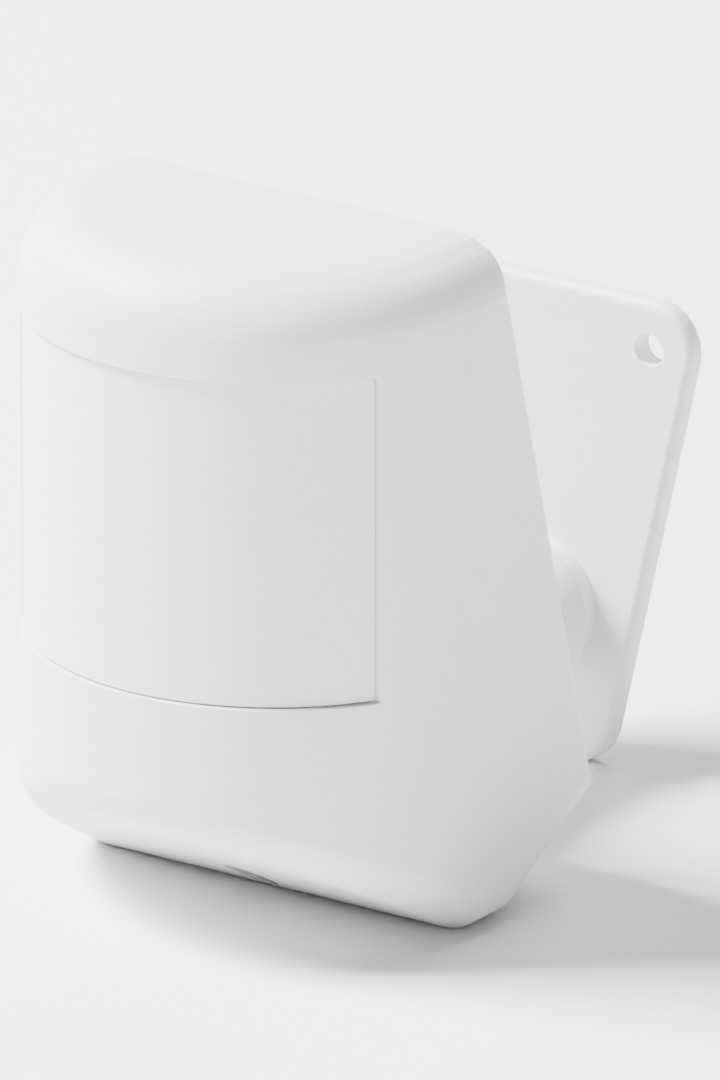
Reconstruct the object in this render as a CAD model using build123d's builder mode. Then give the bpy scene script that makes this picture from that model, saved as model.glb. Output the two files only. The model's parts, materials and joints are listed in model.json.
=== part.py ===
"""Wall-mounted motion sensor on a ball-jointed plate, as separate named pieces.

Frame: millimetres, +X to the right, +Y into the wall, +Z up. The origin lies on the wall, on the
axis of the ball joint. The head's rounded front faces -Y.
"""
from build123d import *
from math import asin, atan, cos, degrees, radians, sin, sqrt, tan
import os

os.makedirs("parts", exist_ok=True)

# ---------------------------------------------------------------- driving dimensions
# clearances
fit = 0.15              # between a piece and the opening that it drops into
snug = 0.02             # between pieces that are screwed, pressed or soldered together
running = 0.05          # radial, between the sliding spheres of the ball joint

# wall plate
plate_thickness = 3.0
plate_height = 60.0
plate_top_width = 46.2          # between the sharp corners
plate_bottom_width = 18.4
plate_corner = 6.0
plate_edge = 1.0                # rounding of both rims
plate_drop = 19.8               # from the ball's axis down to the plate's bottom edge
wall_hole = 2.0                 # radius; each hole is centred on its corner's rounding

# ball joint
dome_radius = 8.0
dome_wall = 2.0
washer_thickness = 0.8
washer_angle = 55.0             # its rim, off the arm's axis
liner_thickness = 0.5
cup_wall = 2.43
rim_margin = 3.6                # degrees that the cup's rim clears the plate by at full pan and tilt
swing = 15.0                    # pan and tilt each way, degrees
clamp_screw_radius = 1.25
clamp_head_radius = 2.4
clamp_head_thickness = 1.6
wave_thickness = 0.4
insert_radius = 2.2
insert_length = 6.0

# head
head_width = 60.0
head_height = 85.0
head_axis = -57.3               # Y of the axis of the half-round front
back_set = 4.3                  # from the axis to the back's top edge
head_drop = 19.8                # from the ball's axis down to the head's flat bottom
back_lean = 15.0
chin_slope = 30.0
base_flat = 7.3
knee_rise = 9.9
top_round = 8.0
bottom_round = 6.0
back_round = 3.0
knee_round = 6.0
wall = 2.0

# lens window
window_height = 40.0
window_top = 12.0               # below the head's top
window_front = 15.3             # the window's ends, in front of the head's axis
window_recess = 0.57
lens_thickness = 1.0
lens_flange = 1.05
lens_margin = 2.0
retainer_thickness = 1.8

# light port
port_radius = 2.5
port_height = 2.9               # its axis above the flat bottom
port_wall = 1.5
port_end = 0.8                  # its boss ends behind the head's axis
pipe_length = 8.0               # before its front is cut along the chin
pipe_recess = 1.2               # from the chin's surface to the pipe's slanted front
pipe_block = 1.2

# rear cover
cover_wall = 2.0
cover_inset = 5.6               # from the head's side to the cover's edge
cover_end_gap = 3.5             # from the head's top and base edges to the cover's ends
cover_corner = 5.0
ledge = 1.2
ledge_width = 1.5
seal_thickness = 0.5
cover_screw_inset = 9.5         # from the head's side
cover_screw_top = 13.2          # upper pair, below the head's top
cover_screw_low = 14.9          # lower pair, above the knee
boss_radius = 3.0
boss_length = 9.0
neck_radius = 7.0
neck_core = 3.5
collar_wall = 3.0
collar_depth = 6.0              # inside the cover, along the neck
shoulder_radius = 8.5
shoulder_thickness = 2.0
shoulder_stand = 0.6            # least height of the outer boss on the leaning cover
arm_bore = 0.1                  # radial, between the neck and the cover
retainer_radius = 9.5
retainer_disc = 1.8

# main board
board_side_gap = 8.0            # from the head's side to the board's edge
board_top_gap = 20.0
board_base_gap = 3.2
board_thickness = 1.6
board_setback = 3.5             # its front face behind the head's axis
post_radius = 2.5
post_side_inset = 5.0           # from the board's edges to the post's axis
post_top_inset = 6.2
post_base_inset = 5.4

# sensor
sensor_radius = 4.1
sensor_height = 4.2
sensor_stand = 0.4
shroud_radius = 6.4
shroud_height = 3.2

# battery
battery_radius = 8.4
battery_length = 34.5
battery_gap = 1.6               # between the battery and the board
battery_rise = 21.0             # battery's axis above the head's flat bottom
battery_nub = 1.0
nub_radius = 3.2
holder_wall = 1.5
contact_room = 2.0
contact_sheet = 0.3

# switches, on the back of the board
switch_side = 6.0
tamper_place = (10.0, -11.2)    # across, and up from the sensor
tamper_body = 4.0
plunger_radius = 1.2
plunger_travel = 0.6
collar_radius = 2.2
collar_thickness = 0.6
spring_room = 1.8
pair_place = (-10.0, -5.2)
pair_body = 3.5
cap_radius = 1.7
cap_height = 1.0
pinhole_radius = 1.0

# small screws
screw_radius = 1.0
screw_head = 1.9
screw_head_height = 1.3
board_screw_length = 5.0
arm_screw_length = 6.0
arm_screw_circle = 5.25
cover_screw_radius = 1.25
cover_screw_head = 2.5
cover_screw_length = 9.0

# ---------------------------------------------------------------- places that follow from them
radius = head_width / 2
head_top = head_height - head_drop
head_base = -head_drop
head_front = head_axis - radius
back_top = head_axis + back_set
lean = radians(back_lean)
chin = radians(chin_slope)
base_back = head_axis + base_flat
knee_z = head_base + knee_rise
knee_y = back_top + tan(lean) * (head_top - knee_z)
rear_rise = atan(knee_rise / (knee_y - base_back))
rear_depth = cover_wall + seal_thickness + ledge
ball_y = -plate_thickness


def back_y(z, depth=0.0):
    """Y of the leaning back at height z, or of the plane that lies depth inside it."""
    return back_top + tan(lean) * (head_top - z) - depth / cos(lean)


def crossing(a, b):
    """Where two lines of the side view meet; each line is (y, z, angle in degrees)."""
    ay, az, bearing_a = a
    by, bz, bearing_b = b
    ua, va = cos(radians(bearing_a)), sin(radians(bearing_a))
    ub, vb = cos(radians(bearing_b)), sin(radians(bearing_b))
    t = ((by - ay) * vb - (bz - az) * ub) / (ua * vb - va * ub)
    return ay + ua * t, az + va * t


def side_corners(inset, rear, back=None):
    """Corners of the head's side view moved inwards by inset, and by rear along its rear faces.

    back, where given, replaces rear on the leaning back alone.
    """
    back = rear if back is None else back
    lines = [
        (0, head_top - inset, 0),
        (back_top - back * cos(lean), head_top - back * sin(lean), 90 + back_lean),
        (base_back - rear * sin(rear_rise), head_base + rear * cos(rear_rise), degrees(rear_rise)),
        (0, head_base + inset, 0),
        (head_axis + inset * sin(chin), head_base + inset * cos(chin), 180 - chin_slope),
        (head_front - radius, 0, 90),
    ]
    return [crossing(line, lines[(i + 1) % len(lines)]) for i, line in enumerate(lines)]


def side_slab(inset, rear, half_width, mode):
    """Extrude the head's side view, with its rounded knee, both ways along X."""
    corners = side_corners(inset, rear)
    with BuildSketch(Plane.YZ) as view:
        with BuildLine():
            Polyline(*corners, close=True)
        make_face()
        fillet(view.vertices().sort_by_distance((*corners[1], 0))[0], max(knee_round - rear, wall / 4))
    extrude(view.sketch, amount=half_width, both=True, mode=mode)


def head_form(inset, rear):
    """The head's outer form, or with insets the hollow inside it."""
    side = radius - inset
    reach = 2 * back_round
    with BuildPart() as form:
        with BuildSketch(Plane.XY.offset(head_base - radius)):
            with BuildLine():
                Polyline((-side, head_axis), (-side, 0), (side, 0), (side, head_axis))
                RadiusArc((side, head_axis), (-side, head_axis), side)
            make_face()
        extrude(amount=2 * head_height)
        with BuildSketch(Plane.YZ):
            with BuildLine():
                Polyline(*side_corners(inset, rear, rear - reach), close=True)
            make_face()
        extrude(amount=head_width, both=True, mode=Mode.INTERSECT)
        fillet(form.edges().group_by(Axis.Z)[-1].filter_by(Axis.X, reverse=True), top_round - inset)
        underside = form.faces().filter_by(lambda f: f.normal_at().Z < -0.5)
        fillet(underside.edges().filter_by(Axis.X, reverse=True), bottom_round - inset)
        slope = Plane(origin=(0, back_top, head_top), x_dir=(1, 0, 0), z_dir=(0, sin(lean), -cos(lean)))
        with BuildSketch(slope) as section:
            with Locations((0, rear)):
                Rectangle(2 * side, head_width + head_height, align=(Align.CENTER, Align.MIN))
            fillet(section.vertices().group_by(Axis.Y)[0], back_round)
        extrude(amount=2 * head_height, both=True, mode=Mode.INTERSECT)
        side_slab(inset, rear, head_width, Mode.INTERSECT)
    return form.part


def rear_panel(grow, near, far):
    """A slab that follows the head's rear between two depths, larger than the cover by grow."""
    end = cover_end_gap - grow
    reach = head_width
    top = (back_top + end * sin(lean), head_top - end * cos(lean))
    low = (base_back + end * cos(rear_rise), head_base + end * sin(rear_rise))
    inner = 2 * knee_round
    with BuildPart() as panel:
        side_slab(near, near, cover_half + grow, Mode.ADD)
        side_slab(far, far, head_width, Mode.SUBTRACT)
        with BuildSketch(Plane.YZ):
            with BuildLine():
                Polyline(
                    (top[0] - inner * cos(lean), top[1] - inner * sin(lean)),
                    (top[0] + reach * cos(lean), top[1] + reach * sin(lean)),
                    (reach, head_base - reach),
                    (low[0] + reach * sin(rear_rise), low[1] - reach * cos(rear_rise)),
                    (low[0] - inner * sin(rear_rise), low[1] + inner * cos(rear_rise)),
                    close=True,
                )
            make_face()
        extrude(amount=head_width, both=True, mode=Mode.INTERSECT)
        ends = panel.edges().filter_by(lambda e: abs(e.length - (far - near)) < snug)
        fillet(ends, cover_corner + grow)
    return panel.part


def arc_sheet(inner, outer, end, low, high, mode=Mode.ADD):
    """A curved sheet about the head's axis, from the front back to Y = end."""
    with BuildSketch(Plane.XY.offset(low)) as sheet:
        with Locations((0, head_axis)):
            Circle(outer)
            Circle(inner, mode=Mode.SUBTRACT)
        with Locations((0, end)):
            Rectangle(head_width, head_width, align=(Align.CENTER, Align.MAX), mode=Mode.INTERSECT)
    extrude(sheet.sketch, amount=high - low, mode=mode)


def ball_point(r, angle):
    """A point of the swivel's section, r from the ball's centre and angle off the arm's axis."""
    return r * sin(radians(angle)), ball_y - r * cos(radians(angle))


def front_slab(end, low, high, mode=Mode.SUBTRACT):
    """Everything in front of Y = end between two heights."""
    with BuildSketch(Plane.XY.offset(low)) as slab:
        with Locations((0, end)):
            Rectangle(2 * head_width, 2 * head_width, align=(Align.CENTER, Align.MAX))
    extrude(slab.sketch, amount=high - low, mode=mode)


def half_ball(r, mode=Mode.ADD):
    """The front half of a solid ball about the swivel's centre."""
    with BuildSketch(Plane.XY) as section:
        with BuildLine():
            Line((0, ball_y), (0, ball_y - r))
            ThreePointArc((0, ball_y - r), ball_point(r, 45), (r, ball_y))
            Line((r, ball_y), (0, ball_y))
        make_face()
    revolve(section.sketch, axis=Axis.Y, mode=mode)


def ball_shell(inner, outer, start, end, mode=Mode.ADD):
    """Turn a spherical shell about the arm's axis, between two angles off it."""
    middle = (start + end) / 2
    with BuildSketch(Plane.XY) as section:
        with BuildLine():
            Line(ball_point(inner, start), ball_point(outer, start))
            ThreePointArc(ball_point(outer, start), ball_point(outer, middle), ball_point(outer, end))
            Line(ball_point(outer, end), ball_point(inner, end))
            ThreePointArc(ball_point(inner, end), ball_point(inner, middle), ball_point(inner, start))
        make_face()
    revolve(section.sketch, axis=Axis.Y, mode=mode)


def rod(r, start, end, x=0.0, z=0.0, mode=Mode.ADD):
    """A round bar along Y between two values of Y."""
    with BuildSketch(Plane.XZ.offset(-start)) as disc:
        with Locations((x, z)):
            Circle(r)
    extrude(disc.sketch, amount=start - end, mode=mode)


def block(size_x, size_z, start, end, x=0.0, z=0.0, mode=Mode.ADD):
    """A square bar along Y between two values of Y."""
    with BuildSketch(Plane.XZ.offset(-start)) as face:
        with Locations((x, z)):
            Rectangle(size_x, size_z)
    extrude(face.sketch, amount=start - end, mode=mode)


def coil(r, wire, pitch, turns, centre, direction):
    """A round wire wound about a straight axis."""
    with BuildLine() as path:
        Helix(pitch, pitch * turns, r, center=centre, direction=direction)
    with BuildSketch(Plane(origin=path.line @ 0, z_dir=path.line % 0)) as section:
        Circle(wire)
    sweep(section.sketch, path=path.line, is_frenet=True)


def on_back(x, z, depth=0.0):
    """A plane on the leaning back at height z, facing outwards, sunk by depth."""
    outward = Vector(0, cos(lean), sin(lean))
    return Plane(origin=Vector(x, back_y(z), z) - outward * depth, x_dir=(1, 0, 0), z_dir=outward)


# places of the swivel
full_swing = degrees(asin(sqrt(1 - cos(radians(swing)) ** 4)))
dome_inner = dome_radius - dome_wall
washer_outer = dome_inner - running
washer_inner = washer_outer - washer_thickness
clamp_outer = washer_inner - running
liner_inner = dome_radius + running
liner_outer = liner_inner + liner_thickness
cup_inner = liner_outer + snug
cup_radius = cup_inner + cup_wall
cup_rim = cup_radius * sin(radians(full_swing + rim_margin))
rim_angle = degrees(asin(sqrt(1 - (cup_rim / cup_inner) ** 2)))
screw_bore = clamp_screw_radius + 0.1
clamp_rim = 0.55 * clamp_outer
clamp_back = 0.65 * clamp_outer
wave_back = clamp_back - running - wave_thickness
head_back = wave_back - clamp_head_thickness
insert_front = cup_radius + 1.0
insert_back = insert_front + insert_length
collar_front = back_y(0, cover_wall) - collar_depth
shoulder_face = back_y(-shoulder_radius) + shoulder_stand

# places of the rear cover, window and board
cover_half = radius - cover_inset
opening = -ledge_width
seat = cover_wall + seal_thickness
cover_screw_x = radius - cover_screw_inset
cover_screw_heights = (head_top - cover_screw_top, knee_z + cover_screw_low)
screw_places = [(x, z) for z in cover_screw_heights for x in (-cover_screw_x, cover_screw_x)]
window_high = head_top - window_top
window_low = window_high - window_height
window_end = head_axis - window_front
panel_outer = radius - window_recess
flange_outer = radius - wall - snug
flange_inner = flange_outer - lens_flange
port_z = head_base + port_height
board_front = head_axis + board_setback
board_back = board_front + board_thickness
board_width = head_width - 2 * board_side_gap
board_top = head_top - board_top_gap
board_bottom = head_base + board_base_gap
post_x = board_width / 2 - post_side_inset
post_heights = (board_top - post_top_inset, board_bottom + post_base_inset)
post_places = [(x, z) for z in post_heights for x in (-post_x, post_x)]
sensor_z = (window_high + window_low) / 2
battery_y = board_front - battery_gap - battery_radius
battery_height = head_base + battery_rise

# ---------------------------------------------------------------- wall plate and swivel
with BuildPart() as wall_plate:
    plate_top = plate_height - plate_drop
    taper = degrees(atan((plate_top_width - plate_bottom_width) / 2 / plate_height))
    hole_x = plate_top_width / 2 - plate_corner / tan(radians((90 - taper) / 2))
    with BuildSketch(Plane.XZ) as outline:
        with BuildLine():
            Polyline(
                (-plate_top_width / 2, plate_top),
                (plate_top_width / 2, plate_top),
                (plate_bottom_width / 2, -plate_drop),
                (-plate_bottom_width / 2, -plate_drop),
                close=True,
            )
        make_face()
        fillet(outline.vertices(), plate_corner)
    extrude(amount=plate_thickness)
    fillet(wall_plate.edges().filter_by(Axis.Y, reverse=True), plate_edge)
    for x, z in [(-hole_x, plate_top - plate_corner), (hole_x, plate_top - plate_corner), (0, plate_corner - plate_drop)]:
        rod(wall_hole, -plate_thickness, 0, x, z, Mode.SUBTRACT)
    half_ball(dome_radius)
    half_ball(dome_inner, Mode.SUBTRACT)
    rod(dome_inner, ball_y, 0, mode=Mode.SUBTRACT)
    flare = screw_bore + 2 * fit
    with BuildSketch(Plane.XY):
        with BuildLine():
            Polyline(
                (0, ball_y),
                (flare, ball_y),
                (flare + cup_radius * tan(radians(full_swing)), ball_y - cup_radius),
                (0, ball_y - cup_radius),
                close=True,
            )
        make_face()
    revolve(axis=Axis.Y, mode=Mode.SUBTRACT)
wall_plate.part.label = "wall_plate"
export_step(wall_plate.part, "parts/wall_plate.step")

with BuildPart() as swivel_washer:
    ball_shell(washer_inner, washer_outer, 0, washer_angle)
    slot_length = 2 * (washer_outer * sin(radians(swing)) + screw_bore / cos(radians(swing)) + fit)
    with BuildSketch(Plane.XZ):
        SlotOverall(slot_length, 2 * (screw_bore + fit), rotation=90)
    extrude(amount=2 * dome_radius, mode=Mode.SUBTRACT)
swivel_washer.part.label = "swivel_washer"
export_step(swivel_washer.part, "parts/swivel_washer.step")

with BuildPart() as clamp_washer:
    half_ball(clamp_outer)
    rod(clamp_outer, ball_y - clamp_back, ball_y, mode=Mode.SUBTRACT)
    rod(clamp_rim, ball_y - dome_radius, ball_y, mode=Mode.INTERSECT)
    rod(screw_bore, ball_y - dome_radius, ball_y, mode=Mode.SUBTRACT)
clamp_washer.part.label = "clamp_washer"
export_step(clamp_washer.part, "parts/clamp_washer.step")

with BuildPart() as wave_washer:
    rod(clamp_head_radius, ball_y - wave_back - wave_thickness, ball_y - wave_back)
    rod(screw_bore, ball_y - dome_radius, ball_y, mode=Mode.SUBTRACT)
wave_washer.part.label = "wave_washer"
export_step(wave_washer.part, "parts/wave_washer.step")

with BuildPart() as clamp_screw:
    rod(clamp_head_radius, ball_y - wave_back + snug, ball_y - head_back)
    rod(clamp_screw_radius, ball_y - insert_back, ball_y - head_back)
    for angle in (0, 90):
        with BuildSketch(Plane.XZ.offset(head_back - ball_y)):
            SlotOverall(1.4 * clamp_head_radius, 0.3 * clamp_head_radius, rotation=angle)
        extrude(amount=clamp_head_thickness / 2, mode=Mode.SUBTRACT)
clamp_screw.part.label = "clamp_screw"
export_step(clamp_screw.part, "parts/clamp_screw.step")

with BuildPart() as threaded_insert:
    rod(insert_radius, ball_y - insert_back, ball_y - insert_front)
    rod(clamp_screw_radius + snug, ball_y - insert_back, ball_y - insert_front, mode=Mode.SUBTRACT)
threaded_insert.part.label = "threaded_insert"
export_step(threaded_insert.part, "parts/threaded_insert.step")

with BuildPart() as friction_liner:
    ball_shell(liner_inner, liner_outer, 20, rim_angle - 4)
friction_liner.part.label = "friction_liner"
export_step(friction_liner.part, "parts/friction_liner.step")

with BuildPart() as swivel_arm:
    half_ball(cup_radius)
    rod(neck_radius, collar_front + snug, ball_y)
    rod(shoulder_radius, shoulder_face + snug, shoulder_face + shoulder_thickness)
    half_ball(cup_inner, Mode.SUBTRACT)
    rod(2 * cup_radius, ball_y - cup_rim, ball_y + cup_rim, mode=Mode.SUBTRACT)
    rod(screw_bore, ball_y - insert_back, ball_y, mode=Mode.SUBTRACT)
    rod(insert_radius + snug, ball_y - insert_back - snug, ball_y - insert_front + snug, mode=Mode.SUBTRACT)
    rod(neck_core, collar_front, ball_y - insert_back - snug, mode=Mode.SUBTRACT)
    with BuildSketch(Plane.XZ.offset(-collar_front)):
        with PolarLocations(arm_screw_circle, 3, start_angle=90):
            Circle(screw_radius + snug)
    extrude(amount=-arm_screw_length, mode=Mode.SUBTRACT)
swivel_arm.part.label = "swivel_arm"
export_step(swivel_arm.part, "parts/swivel_arm.step")

with BuildPart() as arm_retainer:
    rod(retainer_radius, collar_front - snug - retainer_disc, collar_front - snug)
    rod(neck_core, collar_front - 2 * retainer_disc, collar_front, mode=Mode.SUBTRACT)
    with BuildSketch(Plane.XZ.offset(-collar_front)):
        with PolarLocations(arm_screw_circle, 3, start_angle=90):
            Circle(screw_radius + fit)
    extrude(amount=2 * retainer_disc, mode=Mode.SUBTRACT)
arm_retainer.part.label = "arm_retainer"
export_step(arm_retainer.part, "parts/arm_retainer.step")


def small_screws(places, seat_y, length):
    """Pan-head screws along Y, their heads in front of seat_y."""
    for x, z in places:
        rod(screw_head, seat_y - snug - screw_head_height, seat_y - snug, x, z)
        rod(screw_radius, seat_y - snug, seat_y + length, x, z)
        block(1.3 * screw_head, 0.3 * screw_head, seat_y - screw_head_height - 1, seat_y - 0.6 * screw_head_height,
              x, z, Mode.SUBTRACT)


with BuildPart() as arm_screws:
    circle = [radians(90 + 120 * i) for i in range(3)]
    places = [(arm_screw_circle * cos(a), arm_screw_circle * sin(a)) for a in circle]
    small_screws(places, collar_front - snug - retainer_disc, arm_screw_length)
arm_screws.part.label = "arm_screws"
export_step(arm_screws.part, "parts/arm_screws.step")


def boss_pattern(x, z, depth, grow):
    """Draw one cover screw's boss and the rib that ties it to the side wall, sunk by depth."""
    side = 1 if x > 0 else -1
    with BuildSketch(on_back(x, z, depth)) as pattern:
        Circle(boss_radius + grow)
        with Locations((side * cover_screw_inset / 2, 0)):
            Rectangle(cover_screw_inset - wall / 2, boss_radius + 2 * grow)
    return pattern.sketch


# ---------------------------------------------------------------- case
tamper_at = (tamper_place[0], sensor_z + tamper_place[1])
pair_at = (pair_place[0], sensor_z + pair_place[1])
tamper_top = board_back + tamper_body
tamper_tip = tamper_top + spring_room + collar_thickness + wall / 2

with BuildPart() as cover_lip:
    add(rear_panel(opening - fit, cover_wall, rear_depth))
    add(rear_panel(opening - fit - ledge, 0, 2 * rear_depth), mode=Mode.SUBTRACT)
    for x, z in screw_places:
        extrude(boss_pattern(x, z, rear_depth, 2 * fit), amount=rear_depth, both=True, mode=Mode.SUBTRACT)

with BuildPart() as rear_cover:
    for x, z in post_places:
        rod(post_radius, board_back + snug, back_y(z), x, z)
    rod(neck_radius + arm_bore + collar_wall, collar_front, back_y(0))
    rod(plunger_radius, tamper_tip + running, back_y(tamper_at[1]), *tamper_at)
    side_slab(cover_wall / 4, cover_wall / 4, head_width, Mode.INTERSECT)
    add(rear_panel(0, 0, cover_wall))
    rod(shoulder_radius, collar_front, shoulder_face)
    add(cover_lip.part)
    rod(neck_radius + arm_bore, collar_front - collar_depth, 0, mode=Mode.SUBTRACT)
    for x, z in post_places:
        rod(screw_radius + snug, board_back, board_front + board_screw_length + fit, x, z, Mode.SUBTRACT)
    rod(pinhole_radius, board_back, 0, *pair_at, mode=Mode.SUBTRACT)
    with Locations(*[on_back(x, z).location for x, z in screw_places]):
        CounterSinkHole(cover_screw_radius + fit, cover_screw_head + snug, depth=2 * seat)
rear_cover.part.label = "rear_cover"
export_step(rear_cover.part, "parts/rear_cover.step")

with BuildPart() as cover_seal:
    add(rear_panel(-fit, cover_wall + snug, seat - snug))
    add(rear_panel(opening + fit, 0, rear_depth), mode=Mode.SUBTRACT)
cover_seal.part.label = "cover_seal"
export_step(cover_seal.part, "parts/cover_seal.step")

with BuildPart() as one_cover_screw:
    with BuildSketch(Plane.XZ):
        with BuildLine():
            Polyline(
                (0, 0),
                (cover_screw_head, 0),
                (cover_screw_radius, cover_screw_radius - cover_screw_head),
                (cover_screw_radius, -cover_screw_length),
                (0, -cover_screw_length),
                close=True,
            )
        make_face()
    revolve(axis=Axis.Z)
    for angle in (0, 90):
        with BuildSketch(Plane.XY):
            SlotOverall(1.3 * cover_screw_head, 0.25 * cover_screw_head, rotation=angle)
        extrude(amount=-0.4 * cover_screw_head, mode=Mode.SUBTRACT)

with BuildPart() as cover_screws:
    for x, z in screw_places:
        add(one_cover_screw.part.moved(on_back(x, z, snug).location))
cover_screws.part.label = "cover_screws"
export_step(cover_screws.part, "parts/cover_screws.step")

with BuildPart() as port_boss:
    rod(port_radius + port_wall, head_front, head_axis + port_end, 0, port_z)
    add(head_form(0, 0), mode=Mode.INTERSECT)

with BuildPart() as front_housing:
    add(head_form(0, 0))
    add(head_form(wall, rear_depth), mode=Mode.SUBTRACT)
    for x, z in screw_places:
        extrude(boss_pattern(x, z, seat, 0), amount=-boss_length)
    add(rear_panel(fit, -head_width / 4, seat), mode=Mode.SUBTRACT)
    add(rear_panel(opening, 0, rear_depth + snug), mode=Mode.SUBTRACT)
    for x, z in screw_places:
        extrude(boss_pattern(x, z, seat, 0), amount=-rear_depth)
    front_slab(window_end, window_low, window_high)
    add(port_boss.part)
    rod(port_radius, head_front, head_axis + port_end + 2 * snug, 0, port_z, Mode.SUBTRACT)
    with Locations(*[on_back(x, z, seat).location for x, z in screw_places]):
        Hole(cover_screw_radius + snug, depth=cover_screw_length)
front_housing.part.label = "front_housing"
export_step(front_housing.part, "parts/front_housing.step")

with BuildPart() as fresnel_lens:
    low, high = window_low + fit, window_high - fit
    arc_sheet(flange_inner, panel_outer, window_end - fit, low, high)
    arc_sheet(
        flange_inner, flange_outer, window_end + lens_margin, window_low - lens_margin, window_high + lens_margin
    )
    rim = fit + lens_thickness
    arc_sheet(
        flange_inner - wall, panel_outer - lens_thickness, window_end - rim, low + rim, high - rim, Mode.SUBTRACT
    )
fresnel_lens.part.label = "fresnel_lens"
export_step(fresnel_lens.part, "parts/fresnel_lens.step")

with BuildPart() as lens_retainer:
    outer = flange_inner - snug
    arc_sheet(
        outer - retainer_thickness, outer, window_end + lens_margin, window_low - lens_margin, window_high + lens_margin
    )
    front_slab(window_end - rim, low + rim, high - rim)
lens_retainer.part.label = "lens_retainer"
export_step(lens_retainer.part, "parts/lens_retainer.step")

with BuildPart() as pipe_rod:
    pipe_end = head_axis + port_end + snug
    rod(port_radius - running, pipe_end - pipe_length, pipe_end, 0, port_z)
    add(head_form(pipe_recess, 0), mode=Mode.INTERSECT)

with BuildPart() as light_pipe:
    top = board_bottom + 2 * port_radius
    low = port_z - port_radius / 4
    block(2 * port_radius, top - low, pipe_end, pipe_end + pipe_block, 0, (top + low) / 2)
    chamfer(light_pipe.edges().filter_by(Axis.X).group_by(Axis.Z)[0].sort_by(Axis.Y)[-1], port_radius / 4)
    add(pipe_rod.part)
light_pipe.part.label = "light_pipe"
export_step(light_pipe.part, "parts/light_pipe.step")

# ---------------------------------------------------------------- main board and what is on it
lead_places = [(2.54 * cos(radians(a)), sensor_z + 2.54 * sin(radians(a))) for a in (45, 165, 285)]

with BuildPart() as main_board:
    height = board_top - board_bottom
    block(board_width, height, board_front, board_back, 0, (board_top + board_bottom) / 2)
    fillet(main_board.edges().filter_by(Axis.Y), wall)
    for x, z in post_places:
        rod(screw_radius + fit, board_front, board_back, x, z, Mode.SUBTRACT)
    for x, z in lead_places:
        rod(0.45, board_front, board_back, x, z, Mode.SUBTRACT)
main_board.part.label = "main_board"
export_step(main_board.part, "parts/main_board.step")

with BuildPart() as board_screws:
    small_screws(post_places, board_front, board_screw_length)
board_screws.part.label = "board_screws"
export_step(board_screws.part, "parts/board_screws.step")

can_back = board_front - sensor_stand
can_front = can_back - sensor_height

with BuildPart() as pir_sensor:
    rod(sensor_radius, can_front, can_back, 0, sensor_z)
    fillet(pir_sensor.edges().group_by(Axis.Y)[0], 0.4)
    rod(sensor_radius + 0.5, can_back - 0.5, can_back, 0, sensor_z)
    block(4.0, 3.0, can_front, can_front + 0.3, 0, sensor_z, Mode.SUBTRACT)
pir_sensor.part.label = "pir_sensor"
export_step(pir_sensor.part, "parts/pir_sensor.step")

with BuildPart() as pir_filter:
    block(4.0 - 2 * snug, 3.0 - 2 * snug, can_front + snug, can_front + 0.3 - snug, 0, sensor_z)
pir_filter.part.label = "pir_filter"
export_step(pir_filter.part, "parts/pir_filter.step")

with BuildPart() as pir_leads:
    for x, z in lead_places:
        rod(0.22, can_back + snug, board_back + 1.2, x, z)
pir_leads.part.label = "pir_leads"
export_step(pir_leads.part, "parts/pir_leads.step")

with BuildPart() as pir_shroud:
    rod(shroud_radius, board_front - shroud_height, board_front - snug, 0, sensor_z)
    rod(sensor_radius + 0.8, board_front - 2 * shroud_height, board_front, 0, sensor_z, Mode.SUBTRACT)
    chamfer(pir_shroud.edges().group_by(Axis.Y)[0].sort_by(SortBy.LENGTH)[0], 0.8)
pir_shroud.part.label = "pir_shroud"
export_step(pir_shroud.part, "parts/pir_shroud.step")

with BuildPart() as status_led:
    led = (10.0, sensor_z)
    rod(1.5, board_front - 4.2, board_front - snug, *led)
    fillet(status_led.edges().group_by(Axis.Y)[0], 1.45)
    rod(1.9, board_front - 1.0, board_front - snug, *led)
status_led.part.label = "status_led"
export_step(status_led.part, "parts/status_led.step")

with BuildPart() as light_sensor:
    block(3.0, 2.0, board_front - 1.0, board_front - snug, 0, board_bottom + 3 * port_radius / 2)
light_sensor.part.label = "light_sensor"
export_step(light_sensor.part, "parts/light_sensor.step")

controller = (12.0, sensor_z - 13.2)
amplifier = (1.5, sensor_z - 12.7)

with BuildPart() as microcontroller:
    block(7.0, 7.0, board_front - 1.0, board_front - snug, *controller)
    rod(0.4, board_front - 1.0, board_front - 0.9, controller[0] - 2.5, controller[1] + 2.5, Mode.SUBTRACT)
microcontroller.part.label = "microcontroller"
export_step(microcontroller.part, "parts/microcontroller.step")

with BuildPart() as amplifier_chip:
    block(5.0, 4.0, board_front - 1.5, board_front - snug, *amplifier)
amplifier_chip.part.label = "amplifier_chip"
export_step(amplifier_chip.part, "parts/amplifier_chip.step")

with BuildPart() as chip_legs:
    for i in range(6):
        step = 1.1 * (i - 2.5)
        for side in (-1, 1):
            x, z = controller
            block(1.0, 0.4, board_front - 0.4, board_front - snug, x + side * 4.05, z + step)
            block(0.4, 1.0, board_front - 0.4, board_front - snug, x + step, z + side * 4.05)
    for i in range(4):
        for side in (-1, 1):
            x, z = amplifier
            block(0.4, 1.0, board_front - 0.4, board_front - snug, x + 1.2 * (i - 1.5), z + side * 2.55)
chip_legs.part.label = "chip_legs"
export_step(chip_legs.part, "parts/chip_legs.step")

with BuildPart() as crystal:
    with BuildSketch(Plane.XZ.offset(-board_front + snug)):
        with Locations((19.0, sensor_z - 12.7)):
            SlotOverall(7.0, 2.6, rotation=90)
    extrude(amount=3.0)
crystal.part.label = "crystal"
export_step(crystal.part, "parts/crystal.step")

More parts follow.
